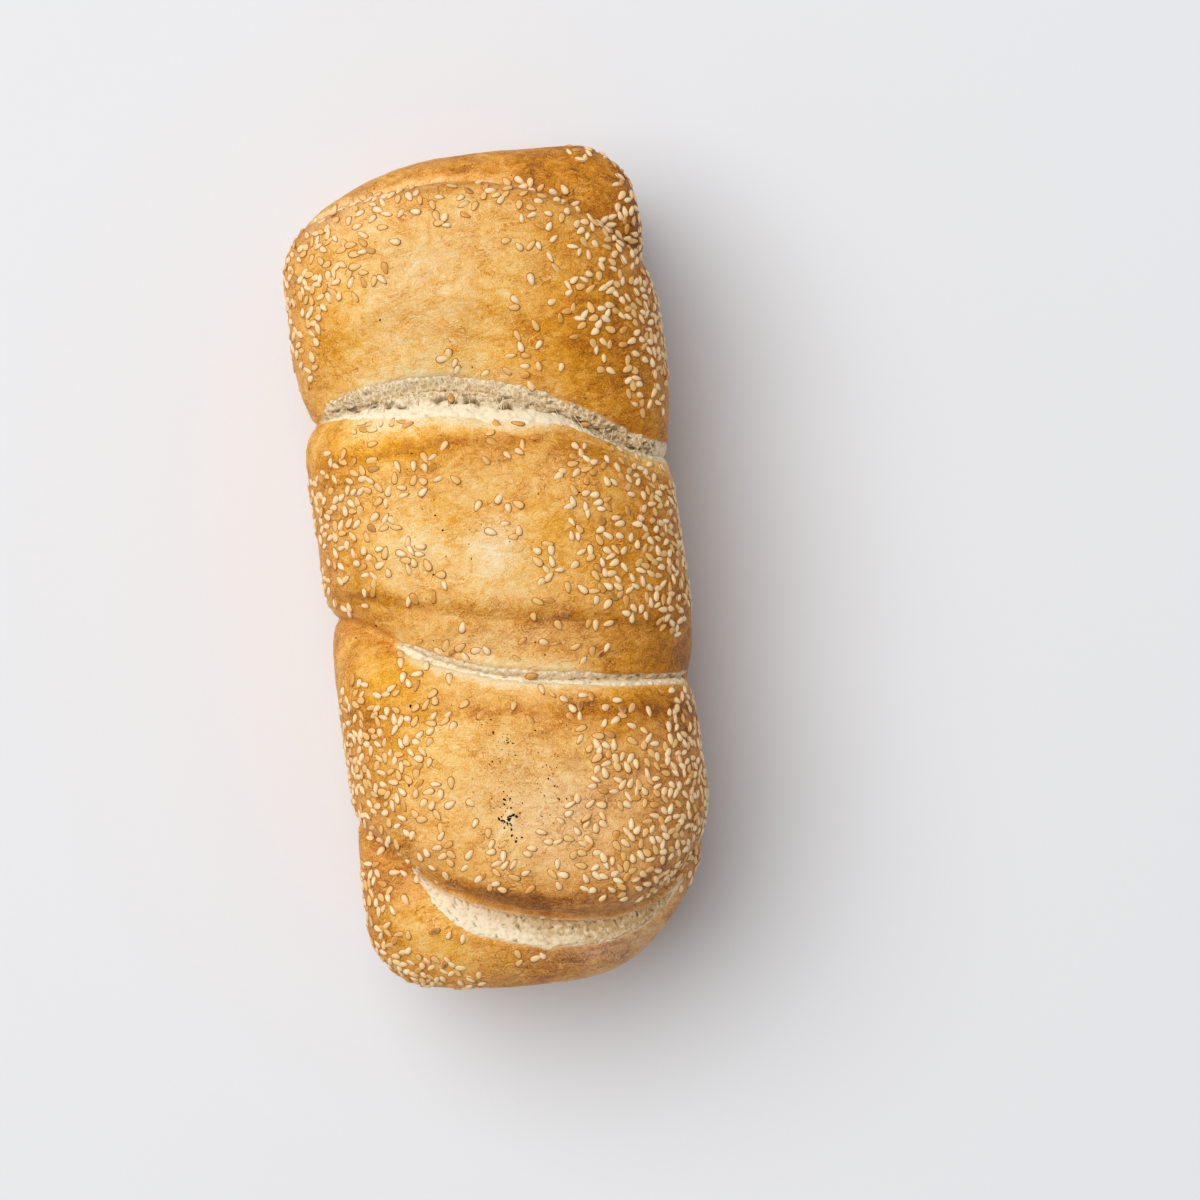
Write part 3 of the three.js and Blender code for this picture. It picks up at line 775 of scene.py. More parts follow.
def sheet(columns, rows, place):
    """A mesh from a grid whose corners place() puts in the frame, with seams merged and faces outwards.

    place() takes the column and row of each corner and gives its points and a dict of attributes.
    """
    bm = bmesh.new()
    bmesh.ops.create_grid(bm, x_segments=columns, y_segments=rows, size=0.5)
    data = bpy.data.meshes.new("sheet")
    bm.to_mesh(data)
    flat = np.zeros(len(data.vertices) * 3)
    data.vertices.foreach_get("co", flat)
    corner = np.rint((flat.reshape(-1, 3)[:, :2] + 0.5) * (columns, rows)).astype(int)
    points, attributes = place(corner[:, 0], corner[:, 1])
    data.vertices.foreach_set("co", (points * MM).ravel())
    set_values(data, attributes)
    bm.clear()
    bm.from_mesh(data)
    bmesh.ops.remove_doubles(bm, verts=bm.verts, dist=1e-6)
    bmesh.ops.recalc_face_normals(bm, faces=bm.faces)
    bm.to_mesh(data)
    bm.free()
    return data


def column_girths(form):
    """Girths of the columns from the middle of the base, once round the loaf and back to it."""
    half = np.concatenate([
        np.linspace(0, form.top_run, TOP_COLUMNS // 2 + 1),
        form.top_run + form.wall_run * np.arange(1, WALL_COLUMNS + 1) / WALL_COLUMNS,
        form.top_run + form.wall_run + form.corner_run * np.arange(1, CORNER_COLUMNS + 1) / CORNER_COLUMNS,
        form.half_girth - form.base_run * (1 - np.arange(1, BASE_COLUMNS + 1) / BASE_COLUMNS),
    ])
    return np.concatenate([-half[:0:-1], half])


def ring_lengths(form, s):
    """Lengths of all rings at the girths s: along the splits on top and square across on the base."""
    ends = [form.rail(s, np.full(len(s), side), LOBES[k].reshape(3, 1))
            for side, k in ((-1.0, 0), (1.0, -1))]
    stops = [-ends[0][2], *(form.split_course(i, s) for i in range(len(SPLITS))), ends[1][2]]
    slanting = []
    for k, count in enumerate(LOBE_RINGS):
        t = np.arange(count) / count
        if k == 0:
            t = t + RING_CROWDING * np.sin(math.pi * t) / math.pi
        elif k == len(LOBE_RINGS) - 1:
            t = t - RING_CROWDING * np.sin(math.pi * t) / math.pi
        else:
            t = t - RING_CROWDING * np.sin(2 * math.pi * t) / (2 * math.pi)
        slanting += [between(stops[k], stops[k + 1], share) for share in t]
    slanting.append(stops[-1])
    squaring = ramp(np.abs(s), form.top_run + 0.45 * form.wall_run, form.top_run + form.wall_run)
    rings = []
    for i, v in enumerate(slanting):
        out = 2 * i / (len(slanting) - 1) - 1
        straight, rolled, whole = ends[0 if out < 0 else 1]
        square = np.interp(abs(out), (0, STRAIGHT_SHARE, ROLLED_SHARE, 1), (0, 1, 2, 3))
        lengths = (0 * straight, straight, straight + rolled, whole)
        low = min(int(square), 2)
        square = math.copysign(1, out) * between(lengths[low], lengths[low + 1], square - low)
        rings.append(between(v, square, squaring))
    return np.array(rings)


def crust_mesh(loaf):
    """The crust as one closed mesh, with how baked it is, painted shade included, and how far inside crumb.
    """
    form = Form(loaf)
    girths = column_girths(form)
    lengths = ring_lengths(form, girths)
    seeds = seed_places(loaf)

    def place(column, ring):
        s, v = girths[column], lengths[ring, column]
        point, normal, tone = form.surface(s, v)
        crumb = form.crumb_depth(s, v, point[:, 0])
        x, y, z = point.T
        ragged = crumb + 0.5 * grain(point, 1.6, 5.0, 2)
        under = ramp(ragged, 0.0, 1.4) * crumb_is_torn(form, s, v, x)
        lip = np.exp(-((ragged + 0.9) / 0.8) ** 2) * ramp(z, 55, 70)
        near = seed_nearness(seeds, point)
        bake_and_shade = COMMON_BAKE + tone + bake_and_shade_of_place(form, s, v, point) + 0.04 * near
        point = point + normal * (LIP_RISE * lip - TORN_DEPTH * under + SEED_RISE * near)[:, None]
        return point, {"bake_and_shade": bake_and_shade, "gold": gold_of_place(point), "crumb": crumb}

    return sheet(len(girths) - 1, len(lengths) - 1, place)


def bake_and_shade_of_place(form, s, v, point):
    """How much browner or darker than the common crust a place is, painted shade included."""
    x, y, z = point.T
    # Darker towards the right, the side away from the key light, is painted shade; darker also at the left
    # edge and low on the walls.
    bake_and_shade = 0.27 * ramp(x, 8, 50) + 0.18 * ramp(-x, 22, 50) + 0.12 * (1 - ramp(z, 0, 26))
    bake_and_shade += patches_at(BAKE_AND_PAINTED_LIGHT_PATCHES, x, y) * ramp(z, 50, 66)
    for index in range(len(SPLITS)):
        offset = form.split_offset(index, s, v)
        share = ramp(offset / (1 + 9 * (1 - ramp(z, 14, 46))), -1.0, 1.0)
        bake_and_shade += (LOBE_BAKE[index + 1] - LOBE_BAKE[index]) * share
        if index == SHUT_SPLIT:
            # A dark line along the shut split is painted shadow under the fourth lobe's lip; the band on that
            # lobe beside it is browner.
            painted_seam_shadow = 0.2 * np.exp(-((offset + 0.3) / 0.6) ** 2)
            bake_and_shade += (painted_seam_shadow + 0.17 * plateau(offset, (-9, -4, -0.8, 0))) * ramp(z, 50, 62)
        if index == NEAR_SPLIT:
            bake_and_shade += LOBE_BAKE[0] * ramp(x, -30, -12)
            # The band along the second lobe's lip: browner crust, and partly painted shade on its down-turned
            # face.
            end = 5.6 + 2.4 * ramp(x, 0, 24)
            browned_and_shaded = ramp(x, -34, -20) * (1 - 0.7 * ramp(x, 12, 32)) * ramp(z, 50, 62)
            bake_and_shade += LIP_BAKE_AND_SHADE * plateau(offset, (0.2, 2.4, end, end + 2.6)) * browned_and_shaded
    for index, side, width, stretch, amount in PALE_SKIN:
        offset = form.split_offset(index, s, v) * (1 if side == "above" else -1)
        offset += 0.5 * grain(point, (5, 2.5, 4), 51.0 + index)
        near = ramp(offset, -0.8, 0.0) * np.exp(-np.maximum(offset - width, 0) / PALE_FADE)
        bake_and_shade -= amount * near * plateau(x, stretch) * ramp(z, 46, 58)
    return bake_and_shade


def gold_of_place(point):
    """How much purer than the common gold the crust is at a place, below 0 where it is duller."""
    x, y, z = point.T
    gold = 0.35 * ramp(x, 14, 30) - 0.1 * ramp(x, 40, 50) + patches_at(GOLD_PATCHES, x, y)
    return gold * ramp(z, 30, 60)


def crumb_is_torn(form, s, v, x):
    """1 where the crumb is torn open and rough, 0 where it only shows as smooth pale skin."""
    rough = np.zeros(len(s))
    for index, zone in enumerate(CRUMBS):
        if zone["torn"]:
            near = 1 - ramp(np.abs(form.split_offset(index, s, v)), 14, 18)
            rough = np.maximum(rough, plateau(x, zone["torn"]) * near)
    return rough


def crumb_mesh(loaf, index):
    """Torn crumb in a split as a closed strip that dives under the crust along both edges."""
    form = Form(loaf)
    zone = CRUMBS[index]
    relief_height = loaf.crumb.relief / MM
    girths = np.arange(-form.top_run * 0.98, form.top_run * 0.98, STRIP_STEP)
    x = form.crust(girths, form.split_course(index, girths))[:, 0]
    above, below = opening(zone["above"], x), opening(zone["below"], x)
    open_here = plateau(x, zone["strip"])
    used = np.nonzero(open_here > 0.01)[0]
    keep = slice(max(used[0] - 1, 0), used[-1] + 2)
    girths, above, below, open_here = (a[keep] for a in (girths, above, below, open_here))
    last = len(girths) - 1
    open_here = open_here * plateau(np.arange(len(girths)), (0, 6, last - 6, last))
    slant = form.split_slant(index, girths)
    top_rows = int(math.ceil((above + below).max() / STRIP_STEP)) + 8

    def place(column, row):
        s, here = girths[column], open_here[column]
        on_top = row <= top_rows
        share = np.where(on_top, row / top_rows, 1 - (row - top_rows) / STRIP_UNDERSIDE)
        low = -(below[column] + STRIP_MARGIN)
        high = above[column] + STRIP_MARGIN
        d = between(low, high, share)
        v = form.split_course(index, s) + d * slant[column]
        point, normal, _ = form.surface(s, v)
        inside = np.minimum(d - low, high - d) - STRIP_MARGIN
        tuft, shaded_pit, web, damp_and_shade = crumb_relief(point, index, d)
        rise = 0.18 + relief_height * tuft * zone["tufts"] - PORE_DEPTH * shaded_pit + web
        inside += 0.6 * grain(point, 1.5, 7.0, 2) + zone["ragged"] * grain(point, (5, 2.5, 4), 57.0)
        height = between(-STRIP_DIVE, rise, ramp(inside, -0.8, 0.7))
        height = between(-STRIP_DIVE - 0.1, height, here)
        thick = STRIP_THICKNESS * np.sin(math.pi * np.clip(share, 0, 1)) ** 0.5
        height = np.where(on_top, height, np.minimum(height, -STRIP_DIVE) - thick * here)
        point = point + normal * height[:, None]
        return point, {"shaded_pit": shaded_pit, "damp_and_shade": damp_and_shade, "netted": np.full(len(s), zone["netted"])}

    return sheet(len(girths) - 1, top_rows + STRIP_UNDERSIDE, place)


def ball(sides, rings):
    """Points and faces of a ball, to be bent into one of many small things."""
    bm = bmesh.new()
    bmesh.ops.create_uvsphere(bm, u_segments=sides, v_segments=rings, radius=1.0)
    points = np.array([vert.co[:] for vert in bm.verts])
    faces = [[vert.index for vert in face.verts] for face in bm.faces]
    bm.free()
    return points, faces


def joined(name, copies, faces, attributes):
    """One mesh of many bent copies of a shape, given by their points in millimetres and its faces."""
    data = bpy.data.meshes.new(name)
    all_faces = [[corner + n * len(copy) for corner in face]
                 for n, copy in enumerate(copies) for face in faces]
    data.from_pydata((np.concatenate(copies) * MM).tolist(), [], all_faces)
    set_values(data, attributes)
    bm = bmesh.new()
    bm.from_mesh(data)
    bmesh.ops.recalc_face_normals(bm, faces=bm.faces)
    bm.to_mesh(data)
    bm.free()
    return data


def crease_course(x):
    """Where the crease, darkened with painted shade, runs in the crumb of the far split, past the split's
    course.
    """
    return -0.6 + 1.7 * (1 - ramp(x, -39, -33)) - 2.5 * plateau(x, (-32, -22, 4, 16)) + 0.6 * ramp(x, 12, 22)


def crumb_relief(point, index, d):
    """Torn crumb at points of a strip: its tufts and pits from 0 to 1, the pits darkened with painted shade,
    a web's height and how damp and shaded it is.
    """
    x = point[:, 0]
    tuft = 0.5 + 0.5 * grain(point, 2.4, 31.0, 4) + 0.25 * grain(point, 0.8, 37.0, 2)
    cell, share = CRUMBS[index]["cell"], CRUMBS[index]["pore_shaded_crumb"]
    shaded_pit = []
    for p in (point / cell + 17.0).tolist():
        distances, centres = noise.voronoi(p)
        chance = noise.cell(Vector(centres[0]) * 7.3)
        size = PORE_LARGEST * (chance if chance < share else 0.0) / share
        outside = min(max((distances[0] - size * 0.5) / PORE_RIM, 0), 1)
        shaded_pit.append(1 - outside if size > PORE_LEAST else 0.0)
    shaded_pit = np.array(shaded_pit)
    web = np.zeros(len(x))
    wave = 0.5 * grain(point, (4, 60, 60), 61.0)
    if index == NEAR_SPLIT:
        # Damp and painted shade under the lip and to the right, with short strokes and with cracks along the
        # lip, darkened with painted shade.
        damp_and_shade = 0.75 * ramp(x, -14, 18) + ramp(d + wave, -8.5, -1.6) * (0.15 + 0.6 * ramp(x, -24, -4))
        strokes = ramp(grain(point + 0.5 * point[:, [1, 2, 0]], (0.7, 2.2, 3.0), 43.0), 0.42, 0.62)
        cracks = ramp(d + wave, -4.2, -1.4) * ramp(grain(point, (0.8, 5.0, 4.0), 45.0), 0.3, 0.55)
        shaded_pit = np.maximum(0.9 * shaded_pit, np.maximum(0.6 * strokes, 0.8 * cracks))
    elif index == MIDDLE_SPLIT:
        # A row of holes along the middle, darkened with painted shade, and damp with painted shade past it.
        damp_and_shade = 0.55 * ramp(d, -0.2, 0.8) + 0.3 * ramp(x, 10, 30)
        holes = ramp(grain(point, (1.6, 0.9, 1.4), 47.0), 0.15, 0.5) * (0.5 + 0.5 * ramp(x, 12, 22))
        shaded_pit = np.maximum(shaded_pit * ramp(d, -0.6, 0.3), holes * np.exp(-((d - 0.2 - wave) / 0.7) ** 2))
    else:
        # A crease with holes, darkened with painted shade, a raised web past it that is damp and shaded, and
        # one dry clump of crumb across it.
        past = d - crease_course(x) - wave
        web = 0.7 * ramp(past, -0.2, 1.2) * (1 - ramp(past, 2.5, 6.0)) * plateau(x, (-40, -30, 8, 18))
        damp_and_shade = ramp(past, -0.8, 0.4) * (0.8 + 0.2 * ramp(x, 10, 30)) + 0.6 * ramp(x, 20, 34)
        clump = np.exp(-((x + 15) / 2.4) ** 2 - ((past + 0.4) / 1.2) ** 2)
        holes = ramp(grain(point, (2.2, 1.2, 1.8), 41.0), -0.1, 0.35)
        torn = ramp(grain(point, (2.6, 1.5, 2.0), 49.0, 2), 0.22, 0.5) * np.exp(-((past - 1.6) / 2.2) ** 2)
        shade = 0.1 + 0.9 * holes
        near = np.maximum(shade * np.exp(-(past / 0.8) ** 2), 0.75 * torn)
        shaded_pit = np.maximum(shaded_pit * (0.2 + 0.6 * np.exp(-(past / 2.5) ** 2)) * ramp(past, -2.4, -0.6), near)
        shaded_pit, damp_and_shade, web = shaded_pit * (1 - clump), damp_and_shade * (1 - 0.8 * clump), web + 0.6 * clump * tuft
    return tuft, shaded_pit, web, np.clip(damp_and_shade, 0, 1)


def strands_mesh(loaf):
    """Threads of crumb drawn across the dark crease of the far split, as joined thin closed tubes."""
    form = Form(loaf)
    random = np.random.RandomState(loaf.seeds.draw + 1)
    shape, shape_faces = ball(STRAND_SIDES, STRAND_RINGS)
    along = 0.5 - 0.5 * shape[:, 2]
    round_about = np.hypot(shape[:, 0], shape[:, 1])[:, None]
    around = shape * (1, 1, 0) / np.maximum(round_about, 1e-9) * (round_about > 1e-6)
    girths = np.linspace(-form.top_run, form.top_run, 400)
    course_x = form.crust(girths, form.split_course(FAR_SPLIT, girths))[:, 0]
    points = []
    for x in random.uniform(*STRAND_STRETCH, STRAND_COUNT):
        s = np.interp(x, course_x, girths)
        crease = crease_course(x)
        ends = []
        low_end, high_end = crease - random.uniform(0.6, 1.8), crease + random.uniform(1.0, 2.4)
        for away, high in ((low_end, 0.5), (high_end, 1.6)):
            at = np.array([s + random.uniform(-1.6, 1.6)])
            point, normal, _ = form.surface(at, form.split_course(FAR_SPLIT, at) + away)
            ends.append(point[0] + normal[0] * (high * plateau(x, (-42, -34, 10, 20)) + 0.3))
        thick = random.uniform(0.06, 0.14)
        radius = thick * (0.55 + 1.2 * (2 * along - 1) ** 2)
        sag = 0.5 * np.sin(math.pi * along)
        middle = between(ends[0], ends[1], along[:, None]) - sag[:, None] * (0, 0, 1)
        points.append(middle + (around * radius[:, None])[:, [0, 2, 1]])
    count = len(shape) * STRAND_COUNT
    values = {"shaded_pit": np.zeros(count), "damp_and_shade": np.full(count, 0.1), "netted": np.zeros(count)}
    return joined("strands", points, shape_faces, values)


def seen_from_above(form, x, y):
    """Points and normals of the crust under places seen from above."""
    x, y = np.asarray(x, float), np.asarray(y, float)
    s, v = x * form.top_run / form.half_width, y.copy()
    for _ in range(6):
        point = form.crust(s, v)
        s = np.clip(s + 0.8 * (x - point[:, 0]), -form.top_run, form.top_run)
        v = v + 0.8 * (y - point[:, 1])
    return form.surface(s, v)[:2]


def specks_mesh(loaf):
    """All scorched specks as a joined mesh of small flattened drops."""
    random = np.random.RandomState(loaf.seeds.draw + 2)
    rows = [np.array(SPECKS, float)]
    for x, y, across, along, count, small, large in SPECK_SWARMS:
        size = small + (large - small) * random.uniform(0, 1, count) ** 2
        rows.append(np.stack([random.normal(x, across, count), random.normal(y, along, count), size], -1))
    x, y, size = np.concatenate(rows).T
    inside = (np.abs(x) < SPECK_FIELD[0]) & (np.abs(y) < SPECK_FIELD[1])
    x, y, size = x[inside], y[inside], size[inside]
    point, normal = seen_from_above(Form(loaf), x, y)
    shape, faces = ball(7, 4)
    copies = []
    for n in range(len(x)):
        stand = np.array(Vector(normal[n]).to_track_quat("Z", "Y").to_matrix())
        stretch = random.uniform(0.7, 1.4)
        drop = shape * (size[n] * stretch, size[n] / stretch, SPECK_THICKNESS)
        copies.append((drop * (1 + 0.25 * random.uniform(-1, 1, (len(shape), 1)))) @ stand.T + point[n])
    return joined("specks", copies, faces, {})


def seed_density(x, y, z):
    """Seeds to the square centimetre at a place, fading down the walls."""
    most = np.zeros(len(x))
    for px, py, across, along, density in SEED_PATCHES:
        away = ((x - px) / across) ** 2 + ((y - py) / along) ** 2
        most = np.maximum(most, density * (1 - ramp(away, 0.55, 1.5)))
    return most * ramp(z, 22, 50)


def seed_places(loaf):
    """Seeds drawn over the patches, none nearer to another than the spacing."""
    form, spacing = Form(loaf), loaf.seeds.spacing / MM
    random = np.random.RandomState(loaf.seeds.draw)
    reach = form.top_run + SEED_GIRTH
    square_centimetres = 2 * reach * 2 * SEED_LENGTH / 100
    s = random.uniform(-reach, reach, SEED_TRIES)
    v = random.uniform(-SEED_LENGTH, SEED_LENGTH, SEED_TRIES)
    chance = random.uniform(0, 1, SEED_TRIES)
    point = form.crust(s, v)
    crumb = form.crumb_depth(s, v, point[:, 0])
    x, y, z = point.T
    density = seed_density(x, y, z)
    wanted = chance * SEED_TRIES / square_centimetres < density * (1 + CROWDING * density)
    steep = np.nonzero(wanted & (z > STEEP_ABOVE))[0]
    wanted[steep] = form.normals(s[steep], v[steep])[:, 2] > STEEPEST
    far_off = 99 * (z < form.rim)
    nearest = np.array([np.argmin(np.hypot(x - px, y - py) + far_off)
                        for px, py in TOASTED_SEEDS + DARK_SEEDS])
    kept = []
    cells = {}
    for i in [*nearest, *np.nonzero(wanted & (crumb < CLEAR_OF_CRUMB))[0]]:
        home = tuple((point[i] // spacing).astype(int))
        beside = [n for a in (-1, 0, 1) for b in (-1, 0, 1) for c in (-1, 0, 1)
                  for n in cells.get((home[0] + a, home[1] + b, home[2] + c), ())]
        if all(np.linalg.norm(point[i] - point[n]) > spacing for n in beside):
            cells.setdefault(home, []).append(i)
            kept.append(i)
    kept = np.array(kept)
    point, normal, _ = form.surface(s[kept], v[kept])
    draw = random.uniform(0, 1, (len(kept), 6))
    toasted = np.isin(kept, nearest[:len(TOASTED_SEEDS)])
    dark = np.isin(kept, nearest[len(TOASTED_SEEDS):])
    draw[toasted, 0] = np.mean(SEED_KINDS["seeds_toasted"]["share"])
    draw[dark, 0] = np.mean(SEED_KINDS["seeds_dark"]["share"])
    point += normal * (1.2 * ramp(crumb[kept], CLEAR_OF_CRUMB, 0.5))[:, None]
    return {"point": point, "normal": normal, "draw": draw}


def seed_nearness(seeds, point):
    """1 at a seed, falling to 0 a little over 2 mm from it."""
    tree = KDTree(len(seeds["point"]))
    for i, place in enumerate(seeds["point"].tolist()):
        tree.insert(place, i)
    tree.balance()
    away = np.array([tree.find(p)[2] for p in point.tolist()])
    return 1 - ramp(away, 0.8, 2.2)


def seed_shape(seeds):
    """One seed, pointed at one end: its points, its faces and how near its edge each point is, which is
    browned and partly painted with contact shadow.
    """
    rings = len(SEED_PROFILE)
    points, faces = ball(SEED_SIDES, rings)
    x, y, z = points.T
    ring = np.rint((1 - np.arcsin(np.clip(z, -1, 1)) / (math.pi / 2)) * rings / 2).astype(int)
    across, high = np.array(SEED_PROFILE + ((0.0, -1.0),))[ring].T
    round_about = np.maximum(np.hypot(x, y), 1e-9)
    x, y = x / round_about * across, y / round_about * across
    y = y * (1 - SEED_POINTEDNESS * x)
    size = [seeds.length / MM / 2, seeds.width / MM / 2, seeds.thickness / MM / 2]
    return np.stack([x, y, high], -1) * size, faces, across * (ring < rings - 1)


def seeds_mesh(loaf, places, kind):
    """All seeds of one kind as a joined mesh."""
    low, high = SEED_KINDS[kind]["share"]
    chosen = np.nonzero((places["draw"][:, 0] >= low) & (places["draw"][:, 0] < high))[0]
    shape, faces, rim = seed_shape(loaf.seeds)
    tall, lift = SEED_KINDS[kind]["height"], SEED_KINDS[kind]["lift"]
    copies, tones = [], []
    for i in chosen:
        _, turn, size, tilt, side, tone = places["draw"][i]
        stand = Vector(places["normal"][i]).to_track_quat("Z", "Y").to_matrix()
        lean = Matrix.Rotation(SEED_TILT * (tilt - 0.5), 3, "Y")
        roll = Matrix.Rotation(SEED_ROLL * (side - 0.5), 3, "X")
        spin = Matrix.Rotation(2 * math.pi * turn, 3, "Z")
        matrix = np.array(stand @ spin @ lean @ roll)
        scaled = shape * (0.82 + 0.3 * size, 0.8 + 0.34 * tilt, tall)
        copies.append(scaled @ matrix.T + places["point"][i] + lift * places["normal"][i])
        tones.append(np.full(len(shape), tone))
    return joined(kind, copies, faces, {"rim": np.tile(rim, len(chosen)), "tone": np.concatenate(tones)})


def add_node(tree, kind, inputs=None, **settings):
    """Adds a node with its settings, and sets or links its inputs."""
    node = tree.nodes.new(kind)
    for name, value in settings.items():
        setattr(node, name, value)
    for key, value in (inputs or {}).items():
        if isinstance(value, bpy.types.NodeSocket):
            tree.links.new(value, node.inputs[key])
        else:
            node.inputs[key].default_value = value
    return node


def new_material(name):
    """An empty node material and its tree."""
    material = bpy.data.materials.new(name)
    material.use_nodes = True
    material.node_tree.nodes.clear()
    return material, material.node_tree


def set_ramp(node, stops):
    """Gives a colour ramp its stops, as places and linear colours."""
    elements = node.color_ramp.elements
    while len(elements) < len(stops):
        elements.new(0.5)
    for element, (place, colour) in zip(elements, stops):
        element.position = place
        element.color = (*colour, 1.0)


def crust_material(loaf):
    """Baked wheat crust: matte to satin, mottled from straw to orange tan, with fine dry wrinkles and painted
    shade and highlight lines along them.
    """
    material, tree = new_material("baked_wheat_crust")
    bake_and_shade, crumb, gold = (add_node(tree, "ShaderNodeAttribute", attribute_name=name).outputs["Fac"]
                         for name in ("bake_and_shade", "crumb", "gold"))
    place = add_node(tree, "ShaderNodeTexCoord").outputs["Object"]
    along = add_node(tree, "ShaderNodeMapping", {
        "Vector": place, "Rotation": (0, 0, math.radians(-10)), "Scale": (0.65, 1.0, 1.0)}).outputs[0]
    # Patterns in the skin: size of their features in mm, detail, roughness and distortion.
    patterns = {}
    for name, vector, features, detail, roughness, distortion in (
            ("blotches", place, 9.0, 4.0, 0.6, 0.6),
            ("mottle", along, 2.3, 6.0, 0.7, 0.9),
            ("veins", along, 3.4, 4.0, 0.6, 2.5),
            ("grit", place, 0.38, 2.0, 0.6, 0.0),
            ("creases", along, 4.5, 2.5, 0.5, 1.2),
            ("freckles", place, 1.5, 2.0, 0.5, 0.4),
            ("torn", place, 1.1, 4.0, 0.65, 0.0),
            ("streaks", along, 3.6, 5.0, 0.7, 0.8)):
        texture = add_node(tree, "ShaderNodeTexNoise", {
            "Vector": vector, "Scale": 1 / (features * MM), "Detail": detail, "Roughness": roughness,
            "Distortion": distortion}, noise_type="RIDGED_MULTIFRACTAL" if name == "veins" else "FBM")
        patterns[name] = texture.outputs["Fac"]

    # What browns the skin: freckles, each pattern about its middle, and where the skin is wrinkled, thin
    # painted shade lines beside painted highlight lines.
    freckles = add_node(tree, "ShaderNodeMapRange", {
        "Value": patterns["freckles"], "From Min": 0.6, "From Max": 0.8}, interpolation_type="SMOOTHSTEP")
    browning = [(freckles.outputs[0], 0.16)]
    for name, middle, amount in (("blotches", 0.5, 0.62), ("mottle", 0.5, 0.84), ("veins", 0.7, -0.08),
                                 ("grit", 0.5, 0.72)):
        centred = add_node(tree, "ShaderNodeMath", {0: patterns[name], 1: middle}, operation="SUBTRACT")
        browning.append((centred.outputs[0], amount))
    ridge_shading_mask = add_node(tree, "ShaderNodeMapRange", {
        "Value": patterns["blotches"], "From Min": 0.46, "From Max": 0.56}).outputs[0]
    # Each pair is a painted shade line (above 0) beside a painted highlight line (below 0).
    for level, amount in ((0.44, 0.15), (0.462, -0.15), (0.56, 0.13), (0.582, -0.13)):
        ridge_shading_line = add_node(tree, "ShaderNodeMath", {0: patterns["creases"], 1: level, 2: RIDGE_SHADING_HALF_WIDTH},
                            operation="COMPARE")
        masked_ridge_shading = add_node(tree, "ShaderNodeMath", {0: ridge_shading_line.outputs[0], 1: ridge_shading_mask}, operation="MULTIPLY")
        browning.append((masked_ridge_shading.outputs[0], amount))
    tone = bake_and_shade
    for part, amount in browning:
        tone = add_node(tree, "ShaderNodeMath", {0: part, 1: amount, 2: tone},
                        operation="MULTIPLY_ADD").outputs[0]
    baked = add_node(tree, "ShaderNodeValToRGB", {"Fac": tone})
    colours = loaf.crust
    set_ramp(baked, ((0.0, colours.cream), (0.22, colours.straw), (0.45, colours.golden), (0.7, colours.tan),
                     (1.0, colours.brown)))

    # How pure the gold is, and the crumb that shows where the skin is torn.
    purity = 0.9
    for part, amount in ((gold, 0.11), (patterns["streaks"], 0.24)):
        purity = add_node(tree, "ShaderNodeMath", {0: part, 1: amount, 2: purity},
                          operation="MULTIPLY_ADD").outputs[0]
    toned = add_node(tree, "ShaderNodeHueSaturation", {"Saturation": purity, "Color": baked.outputs[0]})
    torn = add_node(tree, "ShaderNodeValToRGB", {"Fac": patterns["torn"]})
    set_ramp(torn, ((0.3, loaf.crumb.grey), (0.62, loaf.crumb.white)))
    ragged = add_node(tree, "ShaderNodeMath", {0: patterns["mottle"], 1: 3.0, 2: crumb},
                      operation="MULTIPLY_ADD")
    inside = add_node(tree, "ShaderNodeMapRange", {
        "Value": ragged.outputs[0], "From Min": 1.0, "From Max": 2.2}, interpolation_type="SMOOTHSTEP")
    colour = add_node(tree, "ShaderNodeMix", {
        "Factor": inside.outputs[0], "A": toned.outputs[0], "B": torn.outputs[0]}, data_type="RGBA")

    wrinkles = add_node(tree, "ShaderNodeBump", {
        "Height": patterns["mottle"], "Strength": 0.7, "Distance": 0.8 * MM})
    skin = add_node(tree, "ShaderNodeBump", {
        "Height": patterns["grit"], "Strength": 0.4, "Distance": 0.3 * MM, "Normal": wrinkles.outputs[0]})
    shader = add_node(tree, "ShaderNodeBsdfPrincipled", {
        "Base Color": colour.outputs["Result"], "Roughness": 0.52, "IOR": 1.45, "Specular IOR Level": 0.4,
        "Subsurface Weight": 0.08, "Subsurface Radius": (1.0, 0.5, 0.25), "Subsurface Scale": 1.5 * MM,
        "Normal": skin.outputs[0]})
    add_node(tree, "ShaderNodeOutputMaterial", {"Surface": shader.outputs[0]})
    return material


